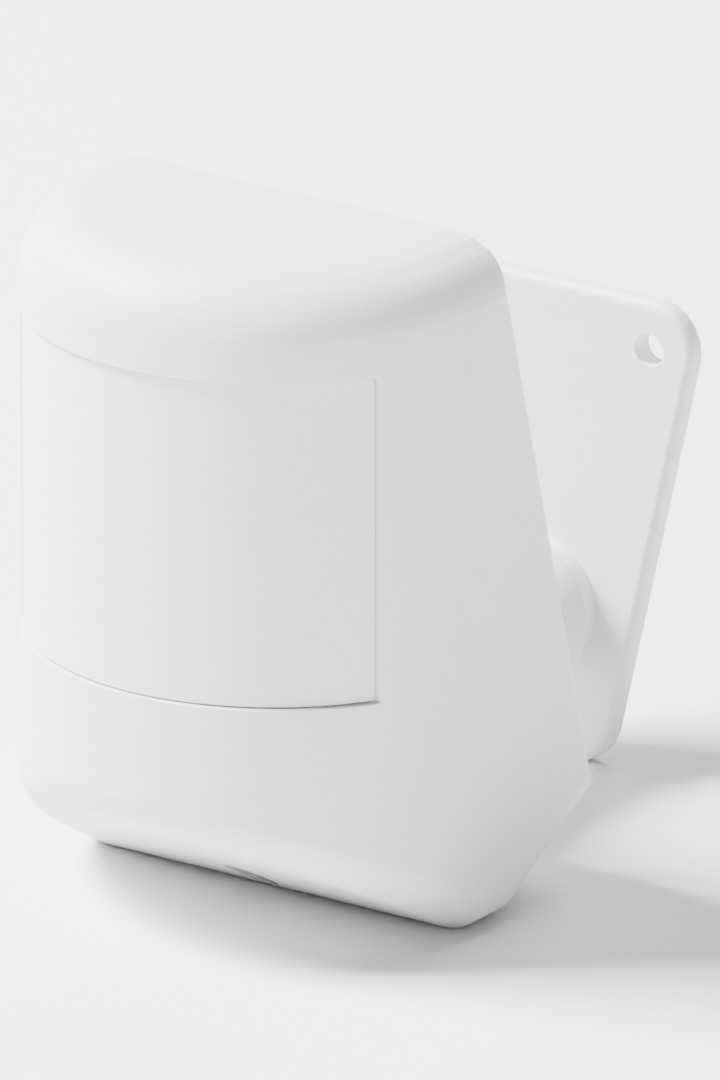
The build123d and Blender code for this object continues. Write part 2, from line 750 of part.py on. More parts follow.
with BuildPart() as capacitors:
    for x, rise in [(18.0, -4.7), (4.5, 8.8), (-5.5, 8.8)]:
        rod(2.3, board_front - 5.5, board_front - snug, x, sensor_z + rise)
    fillet(capacitors.edges().group_by(Axis.Y)[0], 0.4)
capacitors.part.label = "capacitors"
export_step(capacitors.part, "parts/capacitors.step")

with BuildPart() as small_components:
    for i in range(8):
        block(0.9, 1.6, board_front - 0.6, board_front - snug, 19.5 - 3.2 * i, sensor_z - 19.2)
small_components.part.label = "small_components"
export_step(small_components.part, "parts/small_components.step")

radio = (-13.2, sensor_z - 12.2)
radio_face = board_front - snug - 0.8

with BuildPart() as radio_board:
    block(15.0, 12.0, radio_face, board_front - snug, *radio)
radio_board.part.label = "radio_board"
export_step(radio_board.part, "parts/radio_board.step")

with BuildPart() as radio_shield:
    block(13.0, 9.5, radio_face - 2.0, radio_face - snug, *radio)
    block(12.5, 9.0, radio_face - 1.75, radio_face, *radio, Mode.SUBTRACT)
radio_shield.part.label = "radio_shield"
export_step(radio_shield.part, "parts/radio_shield.step")

with BuildPart() as antenna:
    winding = 2.0
    height = board_front - winding - 0.5
    coil(winding, 0.35, 1.6, 6, (-19.5, height, sensor_z - 2.2), (1, 0, 0))
    rod(0.35, height, board_front - snug, -19.5, sensor_z - 2.2 + winding)
antenna.part.label = "antenna"
export_step(antenna.part, "parts/antenna.step")

with BuildPart() as header_pins:
    for i in range(4):
        block(0.6, 0.6, board_back + snug, board_back + 6.0, -18.0 + 2.54 * i, sensor_z - 21.2)
header_pins.part.label = "header_pins"
export_step(header_pins.part, "parts/header_pins.step")

# ---------------------------------------------------------------- battery
holder_half = battery_length / 2 + contact_room
trough = battery_radius + 2 * fit

with BuildPart() as battery_holder:
    with BuildSketch(Plane.YZ):
        with Locations((board_front - snug, battery_height)):
            Rectangle(battery_gap + 1.5 * battery_radius, 2 * (trough + holder_wall), align=(Align.MAX, Align.CENTER))
    extrude(amount=holder_half + holder_wall, both=True)
    with BuildSketch(Plane.YZ):
        with Locations((battery_y, battery_height)):
            Circle(trough)
            Rectangle(2 * trough, 2 * trough, align=(Align.MAX, Align.CENTER))
    extrude(amount=holder_half, both=True, mode=Mode.SUBTRACT)
battery_holder.part.label = "battery_holder"
export_step(battery_holder.part, "parts/battery_holder.step")


def bar(r, start, end, mode=Mode.ADD):
    """A round bar along X on the battery's axis."""
    with BuildSketch(Plane.YZ.offset(start)) as disc:
        with Locations((battery_y, battery_height)):
            Circle(r)
    extrude(disc.sketch, amount=end - start, mode=mode)


with BuildPart() as battery:
    bar(battery_radius, -battery_length / 2, battery_length / 2 - battery_nub)
    fillet(battery.edges(), 0.6)
    bar(nub_radius, 0, battery_length / 2)
battery.part.label = "battery"
export_step(battery.part, "parts/battery.step")

with BuildPart() as positive_contact:
    bar(nub_radius + 2 * contact_room, holder_half - contact_sheet - snug, holder_half - snug)
    bar(nub_radius, battery_length / 2 + snug, holder_half - contact_sheet)
positive_contact.part.label = "positive_contact"
export_step(positive_contact.part, "parts/positive_contact.step")

with BuildPart() as negative_spring:
    wire = contact_sheet
    bar(nub_radius + 2 * contact_room, -holder_half + snug, -holder_half + contact_sheet)
    start = -holder_half + contact_sheet + wire / 2
    pitch = (contact_room - contact_sheet - 2 * wire) / 1.5
    coil(1.3 * nub_radius, wire, pitch, 1.5, (start, battery_y, battery_height), (1, 0, 0))
negative_spring.part.label = "negative_spring"
export_step(negative_spring.part, "parts/negative_spring.step")

# ---------------------------------------------------------------- switches
with BuildPart() as tamper_switch:
    block(switch_side, switch_side, board_back + snug, tamper_top, *tamper_at)
    fillet(tamper_switch.edges().filter_by(Axis.Y), 0.5)
    rod(plunger_radius + 2 * running, tamper_top - 3.0, tamper_top, *tamper_at, Mode.SUBTRACT)
tamper_switch.part.label = "tamper_switch"
export_step(tamper_switch.part, "parts/tamper_switch.step")

with BuildPart() as tamper_plunger:
    rod(plunger_radius, tamper_top - 3.0 + plunger_travel + fit, tamper_tip, *tamper_at)
    rod(collar_radius, tamper_top + spring_room, tamper_top + spring_room + collar_thickness, *tamper_at)
tamper_plunger.part.label = "tamper_plunger"
export_step(tamper_plunger.part, "parts/tamper_plunger.step")

with BuildPart() as tamper_spring:
    wire = 0.15
    pitch = (spring_room - 2 * wire - 2 * snug) / 3
    x, z = tamper_at
    coil(1.75, wire, pitch, 3, (x, tamper_top + wire + snug, z), (0, 1, 0))
tamper_spring.part.label = "tamper_spring"
export_step(tamper_spring.part, "parts/tamper_spring.step")

pair_top = board_back + pair_body

with BuildPart() as pair_switch:
    block(switch_side, switch_side, board_back + snug, pair_top, *pair_at)
    fillet(pair_switch.edges().filter_by(Axis.Y), 0.5)
    rod(cap_radius + 2 * running, pair_top - 1.0, pair_top, *pair_at, Mode.SUBTRACT)
pair_switch.part.label = "pair_switch"
export_step(pair_switch.part, "parts/pair_switch.step")

with BuildPart() as pair_button:
    rod(cap_radius, pair_top - 0.5, pair_top + cap_height, *pair_at)
    fillet(pair_button.edges().group_by(Axis.Y)[-1], 0.3)
pair_button.part.label = "pair_button"
export_step(pair_button.part, "parts/pair_button.step")
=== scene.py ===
"""Studio scene of a wall-mounted motion sensor: its case, lens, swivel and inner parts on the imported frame.

Lengths are metres in the frame's own axes: +X to the right, +Y into the wall, +Z up.
"""
import json
import logging
from dataclasses import dataclass
from enum import Enum
from math import acos, asin, atan, ceil, cos, degrees, hypot, pi, radians, sin, sqrt, tan
from typing import Any, Sequence

import bmesh
import bpy
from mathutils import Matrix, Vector


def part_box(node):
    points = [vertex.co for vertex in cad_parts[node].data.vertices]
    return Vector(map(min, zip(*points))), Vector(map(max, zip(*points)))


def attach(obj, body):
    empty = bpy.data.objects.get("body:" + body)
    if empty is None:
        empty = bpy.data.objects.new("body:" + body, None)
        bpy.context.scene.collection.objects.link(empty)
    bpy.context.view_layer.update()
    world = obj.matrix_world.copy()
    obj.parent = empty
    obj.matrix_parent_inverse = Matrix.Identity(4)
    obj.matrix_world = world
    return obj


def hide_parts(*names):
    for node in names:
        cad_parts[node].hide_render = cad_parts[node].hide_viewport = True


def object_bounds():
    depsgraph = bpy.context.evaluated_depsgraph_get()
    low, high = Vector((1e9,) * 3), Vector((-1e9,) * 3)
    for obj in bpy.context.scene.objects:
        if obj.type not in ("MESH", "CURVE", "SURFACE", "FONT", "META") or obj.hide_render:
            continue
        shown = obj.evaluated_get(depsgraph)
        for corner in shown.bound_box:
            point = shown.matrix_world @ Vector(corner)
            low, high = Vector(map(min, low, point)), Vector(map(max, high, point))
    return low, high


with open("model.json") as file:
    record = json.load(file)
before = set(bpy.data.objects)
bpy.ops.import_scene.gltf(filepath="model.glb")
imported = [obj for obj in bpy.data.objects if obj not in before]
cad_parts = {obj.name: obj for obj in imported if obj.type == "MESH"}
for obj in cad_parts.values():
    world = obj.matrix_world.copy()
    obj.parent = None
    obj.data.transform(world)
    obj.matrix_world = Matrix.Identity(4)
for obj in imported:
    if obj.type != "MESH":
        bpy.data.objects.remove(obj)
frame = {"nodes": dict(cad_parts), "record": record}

log = logging.getLogger("motion_sensor")
cad_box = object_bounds()

MM = 0.001
WELD = 2e-7  # points nearer than this become one
PRESSED = 0.02 * MM  # gap between pieces screwed or pressed together
RUNNING = 0.05 * MM  # gap between a sliding piece and what it meets
Pair = tuple[float, float]
Colour = tuple[float, float, float, float]


class Body(Enum):
    """The moving groups that a piece can ride on."""

    WALL = "wall_mount"
    HEAD = "head"


class Cut(Enum):
    """How one closed mesh changes another."""

    AWAY = "DIFFERENCE"
    JOIN = "UNION"
    WITHIN = "INTERSECT"


# ---------------------------------------------------------------- shader graphs
class Signal:
    """An output socket with arithmetic: values add Math nodes, vectors add Vector Math nodes."""

    def __init__(self, graph: "Graph", socket: bpy.types.NodeSocket) -> None:
        """Keep the socket and the graph that it belongs to."""
        self.graph = graph
        self.socket = socket

    def _combine(self, operation: str, first: Any, second: Any) -> "Signal":
        """Add the node that combines two operands, one of which is this signal.

        Args:
            operation: the Math or Vector Math operation.
            first: the first operand, a signal or a number.
            second: the second operand, a signal or a number.

        Returns:
            The new node's output.
        """
        kind = "ShaderNodeMath" if self.socket.type == "VALUE" else "ShaderNodeVectorMath"
        return self.graph.node(kind, {"operation": operation}, {0: first, 1: second})

    def __add__(self, other: Any) -> "Signal":
        """Return self + other."""
        return self._combine("ADD", self, other)

    def __radd__(self, other: Any) -> "Signal":
        """Return other + self."""
        return self._combine("ADD", other, self)

    def __sub__(self, other: Any) -> "Signal":
        """Return self - other."""
        return self._combine("SUBTRACT", self, other)

    def __rsub__(self, other: Any) -> "Signal":
        """Return other - self."""
        return self._combine("SUBTRACT", other, self)

    def __mul__(self, other: Any) -> "Signal":
        """Return self * other."""
        return self._combine("MULTIPLY", self, other)

    def __rmul__(self, other: Any) -> "Signal":
        """Return other * self."""
        return self._combine("MULTIPLY", other, self)

    def over(self, edge: float) -> "Signal":
        """Return 1 where this value is above edge, and 0 elsewhere."""
        return self._combine("GREATER_THAN", self, edge)

    def within(self, low: float, high: float) -> "Signal":
        """Return this value rescaled so that low is 0 and high is 1, and held between them."""
        return self.graph.node(
            "ShaderNodeMapRange", {"clamp": True}, {"Value": self, "From Min": low, "From Max": high}
        )


class Graph:
    """The node tree of one material, with a Principled shader at its end."""

    def __init__(self, name: str) -> None:
        """Start a material with nothing but its output and its shader."""
        self.material = bpy.data.materials.new(name)
        self.material.use_nodes = True
        self.tree = self.material.node_tree
        self.tree.nodes.clear()
        output = self.tree.nodes.new("ShaderNodeOutputMaterial")
        self.shader = self.tree.nodes.new("ShaderNodeBsdfPrincipled")
        self.tree.links.new(self.shader.outputs[0], output.inputs["Surface"])
        self.place = self.node("ShaderNodeTexCoord", {}, {}, output="Object")

    def feed(self, socket: bpy.types.NodeSocket, value: Any) -> None:
        """Link a signal to a socket, or set the socket to a plain value."""
        if isinstance(value, Signal):
            self.tree.links.new(value.socket, socket)
        else:
            socket.default_value = value

    def node(
        self, kind: str, settings: dict[str, Any], inputs: dict[int | str, Any], output: int | str = 0
    ) -> Signal:
        """Add one node.

        Args:
            kind: the node's type.
            settings: its properties, set before its sockets.
            inputs: a value or a signal for each socket, by name or by place.
            output: the output wanted, by name or by place.

        Returns:
            That output as a signal.
        """
        made = self.tree.nodes.new(kind)
        for name, value in settings.items():
            setattr(made, name, value)
        for name, value in inputs.items():
            self.feed(made.inputs[name], value)
        return Signal(self, made.outputs[output])

    def blend(self, share: Any, first: Any, second: Any) -> Signal:
        """Return the colour that goes from first to second as share goes from 0 to 1."""
        settings = {"data_type": "RGBA", "blend_type": "MIX"}
        return self.node("ShaderNodeMix", settings, {0: share, 6: first, 7: second}, output=2)

    def noise(self, size: float, detail: float = 2.0, rough: float = 0.5, at: Signal | None = None) -> Signal:
        """Return a noise whose lumps are about size across."""
        inputs = {"Vector": at or self.place, "Scale": 1 / size, "Detail": detail, "Roughness": rough}
        return self.node("ShaderNodeTexNoise", {}, inputs)

    def cells(self, size: float, feature: str = "F1", at: Signal | None = None) -> Signal:
        """Return the distance pattern of cells that are about size across."""
        inputs = {"Vector": at or self.place, "Scale": 1 / size}
        return self.node("ShaderNodeTexVoronoi", {"feature": feature}, inputs)

    def stretched(self, x: float, y: float, z: float) -> Signal:
        """Return the object's coordinates scaled along each axis."""
        return self.place * (x, y, z)

    def relief(self, height: Signal, depth: float) -> Signal:
        """Return the normal of a surface with that height pattern, depth deep."""
        return self.node("ShaderNodeBump", {}, {"Strength": 1.0, "Distance": depth, "Height": height})

    def finish(self, **sockets: Any) -> bpy.types.Material:
        """Set the shader's sockets, named with underscores for spaces, and return the material."""
        for name, value in sockets.items():
            self.feed(self.shader.inputs[name.replace("_", " ")], value)
        return self.material


def rgb(red: float, green: float, blue: float) -> Colour:
    """Return an opaque linear colour."""
    return (red, green, blue, 1.0)


def shade(colour: Colour, share: float) -> Colour:
    """Return a colour made lighter or darker by a share."""
    return (*(min(1.0, part * share) for part in colour[:3]), 1.0)


# ---------------------------------------------------------------- finishes
@dataclass(frozen=True)
class MouldedPlastic:
    """Injection-moulded plastic: a spark-eroded grain, slow flow mottling and rubbed patches."""

    colour: Colour
    rough: float = 0.5
    grain: float = 0.38 * MM
    depth: float = 0.014 * MM
    mottle: float = 0.025
    soft: float = 0.0
    clear: float = 0.0

    def make(self, name: str) -> bpy.types.Material:
        """Build the finish under a name."""
        graph = Graph(name)
        flow = graph.noise(17 * MM, 3.0, 0.55)
        grain = graph.noise(self.grain, 3.0, 0.6)
        pits = graph.cells(1.7 * self.grain, "SMOOTH_F1")
        rubbed = graph.noise(6 * MM, 4.0, 0.6).within(0.56, 0.74)
        colour = graph.blend(flow, shade(self.colour, 1 - self.mottle), shade(self.colour, 1 + self.mottle))
        speck = (1 - pits).over(0.985)
        height = grain * 0.65 + pits * 0.35
        return graph.finish(
            Base_Color=graph.blend(speck * 0.06, colour, shade(self.colour, 0.6)),
            Roughness=self.rough + (grain - 0.5) * 0.14 + (flow - 0.5) * 0.06 - rubbed * 0.05,
            Normal=graph.relief(height, self.depth),
            IOR=1.47,
            Subsurface_Weight=self.soft,
            Subsurface_Scale=1.2 * MM,
            Subsurface_Radius=(1.0, 0.92, 0.85),
            Transmission_Weight=self.clear,
        )


@dataclass(frozen=True)
class MilkySheet:
    """Thin milky polyethylene: smooth, faintly cloudy, with soft light inside it."""

    colour: Colour
    rough: float = 0.3

    def make(self, name: str) -> bpy.types.Material:
        """Build the finish under a name."""
        graph = Graph(name)
        cloud = graph.noise(9 * MM, 4.0, 0.5)
        draw = graph.noise(1.0, 2.0, 0.5, graph.stretched(90, 90, 420))
        orange_peel = graph.noise(1.4 * MM, 2.0, 0.4)
        colour = graph.blend(cloud, shade(self.colour, 0.975), shade(self.colour, 1.02))
        return graph.finish(
            Base_Color=graph.blend(draw * 0.08, colour, rgb(0.74, 0.76, 0.77)),
            Roughness=self.rough + (cloud - 0.5) * 0.08 + (orange_peel - 0.5) * 0.05,
            Normal=graph.relief(orange_peel * 0.8 + draw * 0.2, 0.006 * MM),
            IOR=1.52,
            Subsurface_Weight=0.55,
            Subsurface_Scale=1.5 * MM,
            Subsurface_Radius=(1.0, 0.97, 0.92),
        )


@dataclass(frozen=True)
class WorkedMetal:
    """Plated or bare metal with fine working marks, dulled patches and small spots."""

    colour: Colour
    dull: Colour
    rough: float = 0.3
    marks: float = 0.25 * MM
    along: tuple[float, float, float] = (1.0, 0.08, 1.0)

    def make(self, name: str) -> bpy.types.Material:
        """Build the finish under a name."""
        graph = Graph(name)
        scale = 1 / self.marks
        lines = graph.noise(1.0, 2.0, 0.5, graph.stretched(*(scale * part for part in self.along)))
        patch = graph.noise(2.2 * MM, 4.0, 0.6).within(0.42, 0.72)
        spot = graph.noise(0.35 * MM, 2.0, 0.5).within(0.66, 0.74)
        colour = graph.blend(patch * 0.55, self.colour, self.dull)
        return graph.finish(
            Base_Color=graph.blend(spot * 0.5, colour, shade(self.dull, 0.5)),
            Metallic=1.0 - spot * 0.3,
            Roughness=self.rough + (lines - 0.5) * 0.2 + patch * 0.14,
            Normal=graph.relief(lines, 0.004 * MM),
        )


@dataclass(frozen=True)
class CircuitBoard:
    """Solder mask over a glass laminate: raised tracks, tinned vias and a fine weave."""

    mask: Colour
    track: Colour

    def make(self, name: str) -> bpy.types.Material:
        """Build the finish under a name."""
        graph = Graph(name)
        flat = graph.node("ShaderNodeMapping", {}, {"Vector": graph.place, "Rotation": (pi / 2, 0, 0)})
        bricks = {
            "Vector": flat, "Scale": 260.0, "Mortar Size": 0.035, "Brick Width": 0.9, "Row Height": 0.34
        }
        line = graph.node("ShaderNodeTexBrick", {"offset": 0.37}, bricks, output="Fac")
        via = (1 - graph.cells(3.6 * MM)).within(0.9, 0.93)
        weave = graph.noise(1.0, 1.0, 0.4, graph.stretched(3500, 3500, 900))
        colour = graph.blend(line, self.mask, self.track)
        return graph.finish(
            Base_Color=graph.blend(via, colour, rgb(0.62, 0.62, 0.6)),
            Metallic=via * 0.9,
            Roughness=0.34 + (weave - 0.5) * 0.12 + via * 0.06,
            Normal=graph.relief(line * 0.6 + weave * 0.2 + via * 0.3, 0.02 * MM),
            IOR=1.5,
        )


@dataclass(frozen=True)
class ChipPackage:
    """Filled epoxy: matt, with fine filler grains and a faint mould haze."""

    colour: Colour
    rough: float = 0.62

    def make(self, name: str) -> bpy.types.Material:
        """Build the finish under a name."""
        graph = Graph(name)
        filler = graph.noise(0.09 * MM, 3.0, 0.7)
        haze = graph.noise(2.5 * MM, 3.0, 0.5)
        return graph.finish(
            Base_Color=graph.blend(haze * 0.6 + filler * 0.3, self.colour, shade(self.colour, 1.9)),
            Roughness=self.rough + (filler - 0.5) * 0.2 + (haze - 0.5) * 0.1,
            Normal=graph.relief(filler, 0.008 * MM),
        )


@dataclass(frozen=True)
class ShrunkSleeve:
    """Thin printed sleeve shrunk over a can: glossy, with fine wrinkles and one coloured band."""

    colour: Colour
    band: Colour
    band_from: float
    band_to: float

    def make(self, name: str) -> bpy.types.Material:
        """Build the finish under a name."""
        graph = Graph(name)
        across = graph.node("ShaderNodeSeparateXYZ", {}, {"Vector": graph.place}, output="X")
        banded = across.over(self.band_from) * (1 - across.over(self.band_to))
        wrinkle = graph.noise(1.0, 3.0, 0.6, graph.stretched(220, 900, 900))
        scuff = graph.noise(1.6 * MM, 4.0, 0.65).within(0.58, 0.76)
        colour = graph.blend(banded, self.colour, self.band)
        return graph.finish(
            Base_Color=graph.blend(scuff * 0.25, colour, rgb(0.5, 0.5, 0.5)),
            Roughness=0.24 + scuff * 0.18 + (wrinkle - 0.5) * 0.06,
            Normal=graph.relief(wrinkle, 0.02 * MM),
        )


@dataclass(frozen=True)
class CoatedFilter:
    """Dark coated silicon window: near mirror, with a thin colour shift and faint dust."""

    colour: Colour

    def make(self, name: str) -> bpy.types.Material:
        """Build the finish under a name."""
        graph = Graph(name)
        drift = graph.noise(2.0 * MM, 2.0, 0.5)
        dust = graph.noise(0.12 * MM, 2.0, 0.5).within(0.7, 0.76)
        colour = graph.blend(drift, self.colour, rgb(0.05, 0.03, 0.08))
        return graph.finish(
            Base_Color=graph.blend(dust * 0.3, colour, rgb(0.3, 0.3, 0.3)),
            Roughness=0.08 + dust * 0.3 + drift * 0.05,
            Metallic=0.4,
        )


@dataclass(frozen=True)
class SoftFoam:
    """Closed-cell foam or rubber: matt, with open bubbles and a dusty bloom."""

    colour: Colour
    bubble: float = 0.3 * MM

    def make(self, name: str) -> bpy.types.Material:
        """Build the finish under a name."""
        graph = Graph(name)
        bubble = graph.cells(self.bubble)
        bloom = graph.noise(3 * MM, 4.0, 0.6)
        return graph.finish(
            Base_Color=graph.blend(bloom * 0.5 + bubble * 0.3, self.colour, shade(self.colour, 2.2)),
            Roughness=0.85 + (bubble - 0.5) * 0.12,
            Normal=graph.relief(bubble, 0.05 * MM),
        )


CASE_WHITE = rgb(0.80, 0.80, 0.785)
FINISHES: dict[str, Any] = {
    "case_plastic": MouldedPlastic(CASE_WHITE, rough=0.52, soft=0.08),
    "lens_milky": MilkySheet(rgb(0.84, 0.845, 0.845)),
    "black_plastic": MouldedPlastic(rgb(0.018, 0.018, 0.019), rough=0.46, mottle=0.12),
    "white_plastic": MouldedPlastic(rgb(0.72, 0.72, 0.7), rough=0.42, grain=0.2 * MM),
    "clear_plastic": MouldedPlastic(rgb(0.9, 0.91, 0.91), rough=0.3, depth=0.003 * MM, soft=0.5, clear=0.3),
    "nylon": MouldedPlastic(rgb(0.62, 0.6, 0.54), rough=0.4, soft=0.15),
    "liner_rubber": SoftFoam(rgb(0.03, 0.03, 0.032), 0.15 * MM),
    "seal_foam": SoftFoam(rgb(0.05, 0.05, 0.055)),
    "steel": WorkedMetal(rgb(0.56, 0.57, 0.58), rgb(0.4, 0.39, 0.37)),
    "zinc_steel": WorkedMetal(rgb(0.66, 0.68, 0.71), rgb(0.5, 0.5, 0.48), rough=0.34),
    "spring_steel": WorkedMetal(rgb(0.5, 0.5, 0.5), rgb(0.33, 0.3, 0.27), rough=0.26, marks=0.1 * MM),
    "brass": WorkedMetal(rgb(0.72, 0.52, 0.22), rgb(0.42, 0.28, 0.12), rough=0.28),
    "board_green": CircuitBoard(rgb(0.012, 0.11, 0.04), rgb(0.03, 0.2, 0.07)),
    "board_blue": CircuitBoard(rgb(0.01, 0.05, 0.16), rgb(0.025, 0.11, 0.28)),
    "nickel_can": WorkedMetal(rgb(0.63, 0.61, 0.57), rgb(0.45, 0.42, 0.37), rough=0.24, marks=0.15 * MM),
    "filter_dark": CoatedFilter(rgb(0.02, 0.022, 0.03)),
    "tinned_lead": WorkedMetal(rgb(0.68, 0.68, 0.69), rgb(0.48, 0.48, 0.47), rough=0.3, marks=0.12 * MM),
    "led_red": MouldedPlastic(rgb(0.55, 0.03, 0.025), rough=0.12, depth=0.002 * MM, soft=0.4, clear=0.35),
    "chip_black": ChipPackage(rgb(0.018, 0.018, 0.02)),
    "chip_brown": ChipPackage(rgb(0.24, 0.15, 0.08), rough=0.45),
    "capacitor_sleeve": ShrunkSleeve(rgb(0.015, 0.02, 0.05), rgb(0.5, 0.52, 0.55), 19.4 * MM, 22 * MM),
    "copper_wire": WorkedMetal(rgb(0.78, 0.38, 0.22), rgb(0.45, 0.2, 0.12), rough=0.24, marks=0.1 * MM),
    "gold_pin": WorkedMetal(rgb(0.85, 0.65, 0.3), rgb(0.6, 0.45, 0.2), rough=0.22, marks=0.1 * MM),
    "battery_wrap": ShrunkSleeve(rgb(0.02, 0.07, 0.12), rgb(0.62, 0.6, 0.55), 8 * MM, 17.3 * MM),
}


class Paints:
    """The finished materials, each made once, by the record's slot name."""

    def __init__(self) -> None:
        """Start with none made."""
        self.made: dict[str, bpy.types.Material] = {}

    def get(self, slot: str) -> bpy.types.Material:
        """Return a slot's material, making it the first time."""
        if slot not in self.made:
            self.made[slot] = FINISHES[slot].make("finish_" + slot)
        return self.made[slot]


# ---------------------------------------------------------------- mesh tools
def drop_loose(shape: bmesh.types.BMesh) -> None:
    """Remove the edges that no face uses."""
    bmesh.ops.delete(shape, geom=[edge for edge in shape.edges if not edge.link_faces], context="EDGES")


class Skin:
    """Gathers faces as lists of corner points, then welds them into one closed mesh."""

    def __init__(self) -> None:
        """Start with no faces."""
        self.faces: list[list[Vector]] = []

    def face(self, *corners: Sequence[float]) -> None:
        """Add one flat face."""
        self.faces.append([Vector(corner) for corner in corners])

    def strip(self, first: Sequence[Sequence[float]], second: Sequence[Sequence[float]]) -> None:
        """Add the faces between two rows with as many points each."""
        for i in range(len(first) - 1):
            self.face(first[i], first[i + 1], second[i + 1], second[i])

    def build(self, name: str) -> bpy.types.Object:
        """Weld the faces, turn them outwards and return the new object."""
        shape = bmesh.new()
        for corners in self.faces:
            shape.faces.new([shape.verts.new(corner) for corner in corners])
        bmesh.ops.remove_doubles(shape, verts=shape.verts, dist=WELD)
        bmesh.ops.dissolve_degenerate(shape, edges=shape.edges, dist=WELD)
        drop_loose(shape)
        bmesh.ops.recalc_face_normals(shape, faces=shape.faces)
        mesh = bpy.data.meshes.new(name)
        shape.to_mesh(mesh)
        shape.free()
        made = bpy.data.objects.new(name, mesh)
        bpy.context.scene.collection.objects.link(made)
        return made


def settle(piece: bpy.types.Object) -> None:
    """Turn a piece's modifiers into plain mesh."""
    graph = bpy.context.evaluated_depsgraph_get()
    mesh = bpy.data.meshes.new_from_object(piece.evaluated_get(graph))
    piece.modifiers.clear()
    old = piece.data
    piece.data = mesh
    bpy.data.meshes.remove(old)


def carve(piece: bpy.types.Object, tool: bpy.types.Object, how: Cut = Cut.AWAY) -> None:
    """Change a piece by a closed tool mesh, and delete the tool."""
    modifier = piece.modifiers.new("carve", "BOOLEAN")
    modifier.operation = how.value
    modifier.solver = "EXACT"
    modifier.object = tool
    settle(piece)
    mesh = tool.data
    bpy.data.objects.remove(tool)
    bpy.data.meshes.remove(mesh)


def merge_flat(piece: bpy.types.Object, limit: float = radians(0.02)) -> None:
    """Join faces that lie in one plane, and drop leftover slivers."""
    shape = bmesh.new()
    shape.from_mesh(piece.data)
    bmesh.ops.remove_doubles(shape, verts=shape.verts, dist=2 * WELD)
    bmesh.ops.dissolve_limit(shape, angle_limit=limit, verts=shape.verts, edges=shape.edges)
    bmesh.ops.dissolve_degenerate(shape, edges=shape.edges, dist=WELD)
    drop_loose(shape)
    shape.to_mesh(piece.data)
    shape.free()


def soften(piece: bpy.types.Object, width: float, angle: float = radians(24), segments: int = 2) -> None:
    """Round a piece's sharp edges slightly and shade the rest smoothly."""
    bevel = piece.modifiers.new("soften", "BEVEL")
    bevel.width = width
    bevel.segments = segments
    bevel.limit_method = "ANGLE"
    bevel.angle_limit = angle
    bevel.use_clamp_overlap = False
    bevel.miter_outer = "MITER_ARC"
    settle(piece)
    for polygon in piece.data.polygons:
        polygon.use_smooth = True
    piece.data.set_sharp_from_angle(angle=radians(40))
    weight = piece.modifiers.new("shading", "WEIGHTED_NORMAL")
    weight.keep_sharp = True
    weight.weight = 60


def turned(
    name: str,
    profile: Sequence[Pair],
    origin: Sequence[float] = (0.0, 0.0, 0.0),
    direction: Sequence[float] = (0.0, 1.0, 0.0),
    segments: int = 96,
) -> bpy.types.Object:
    """Turn a closed outline about an axis.

    Args:
        name: the object's name.
        profile: the outline as pairs of radius and distance along the axis.
        origin: a point on the axis, where the distance is 0.
        direction: the axis.
        segments: how many sides the turned piece has.

    Returns:
        The turned object.
    """
    along = Vector(direction).normalized()
    side = along.orthogonal().normalized()
    other = along.cross(side)
    start = Vector(origin)
    rings = []
    for radius, distance in profile:
        centre = start + along * distance
        angles = [2 * pi * i / segments for i in range(segments + 1)]
        rings.append([centre + (side * cos(a) + other * sin(a)) * radius for a in angles])
    skin = Skin()
    for first, second in zip(rings, rings[1:] + rings[:1]):
        skin.strip(first, second)
    return skin.build(name)


def cylinder(
    name: str, radius: float, start: float, end: float, x: float = 0.0, z: float = 0.0
) -> bpy.types.Object:
    """Return a round bar along Y between two values of Y."""
    return turned(name, [(0, start), (radius, start), (radius, end), (0, end)], (x, 0, z), segments=64)


def crossing(a: tuple[float, float, float], b: tuple[float, float, float]) -> Pair:
    """Return where two lines of the side view meet, each given as Y, Z and bearing in degrees."""
    ay, az, bearing_a = a
    by, bz, bearing_b = b
    ua, va = cos(radians(bearing_a)), sin(radians(bearing_a))
    ub, vb = cos(radians(bearing_b)), sin(radians(bearing_b))
    t = ((by - ay) * vb - (bz - az) * ub) / (ua * vb - va * ub)
    return ay + ua * t, az + va * t


def sink(x: float, half: float, radius: float) -> float:
    """Return how far a rounding has left its flat face at x, where half is the far side."""
    over = x - (half - radius)
    return 0.0 if over <= 0 else radius - sqrt(max(0.0, radius * radius - over * over))


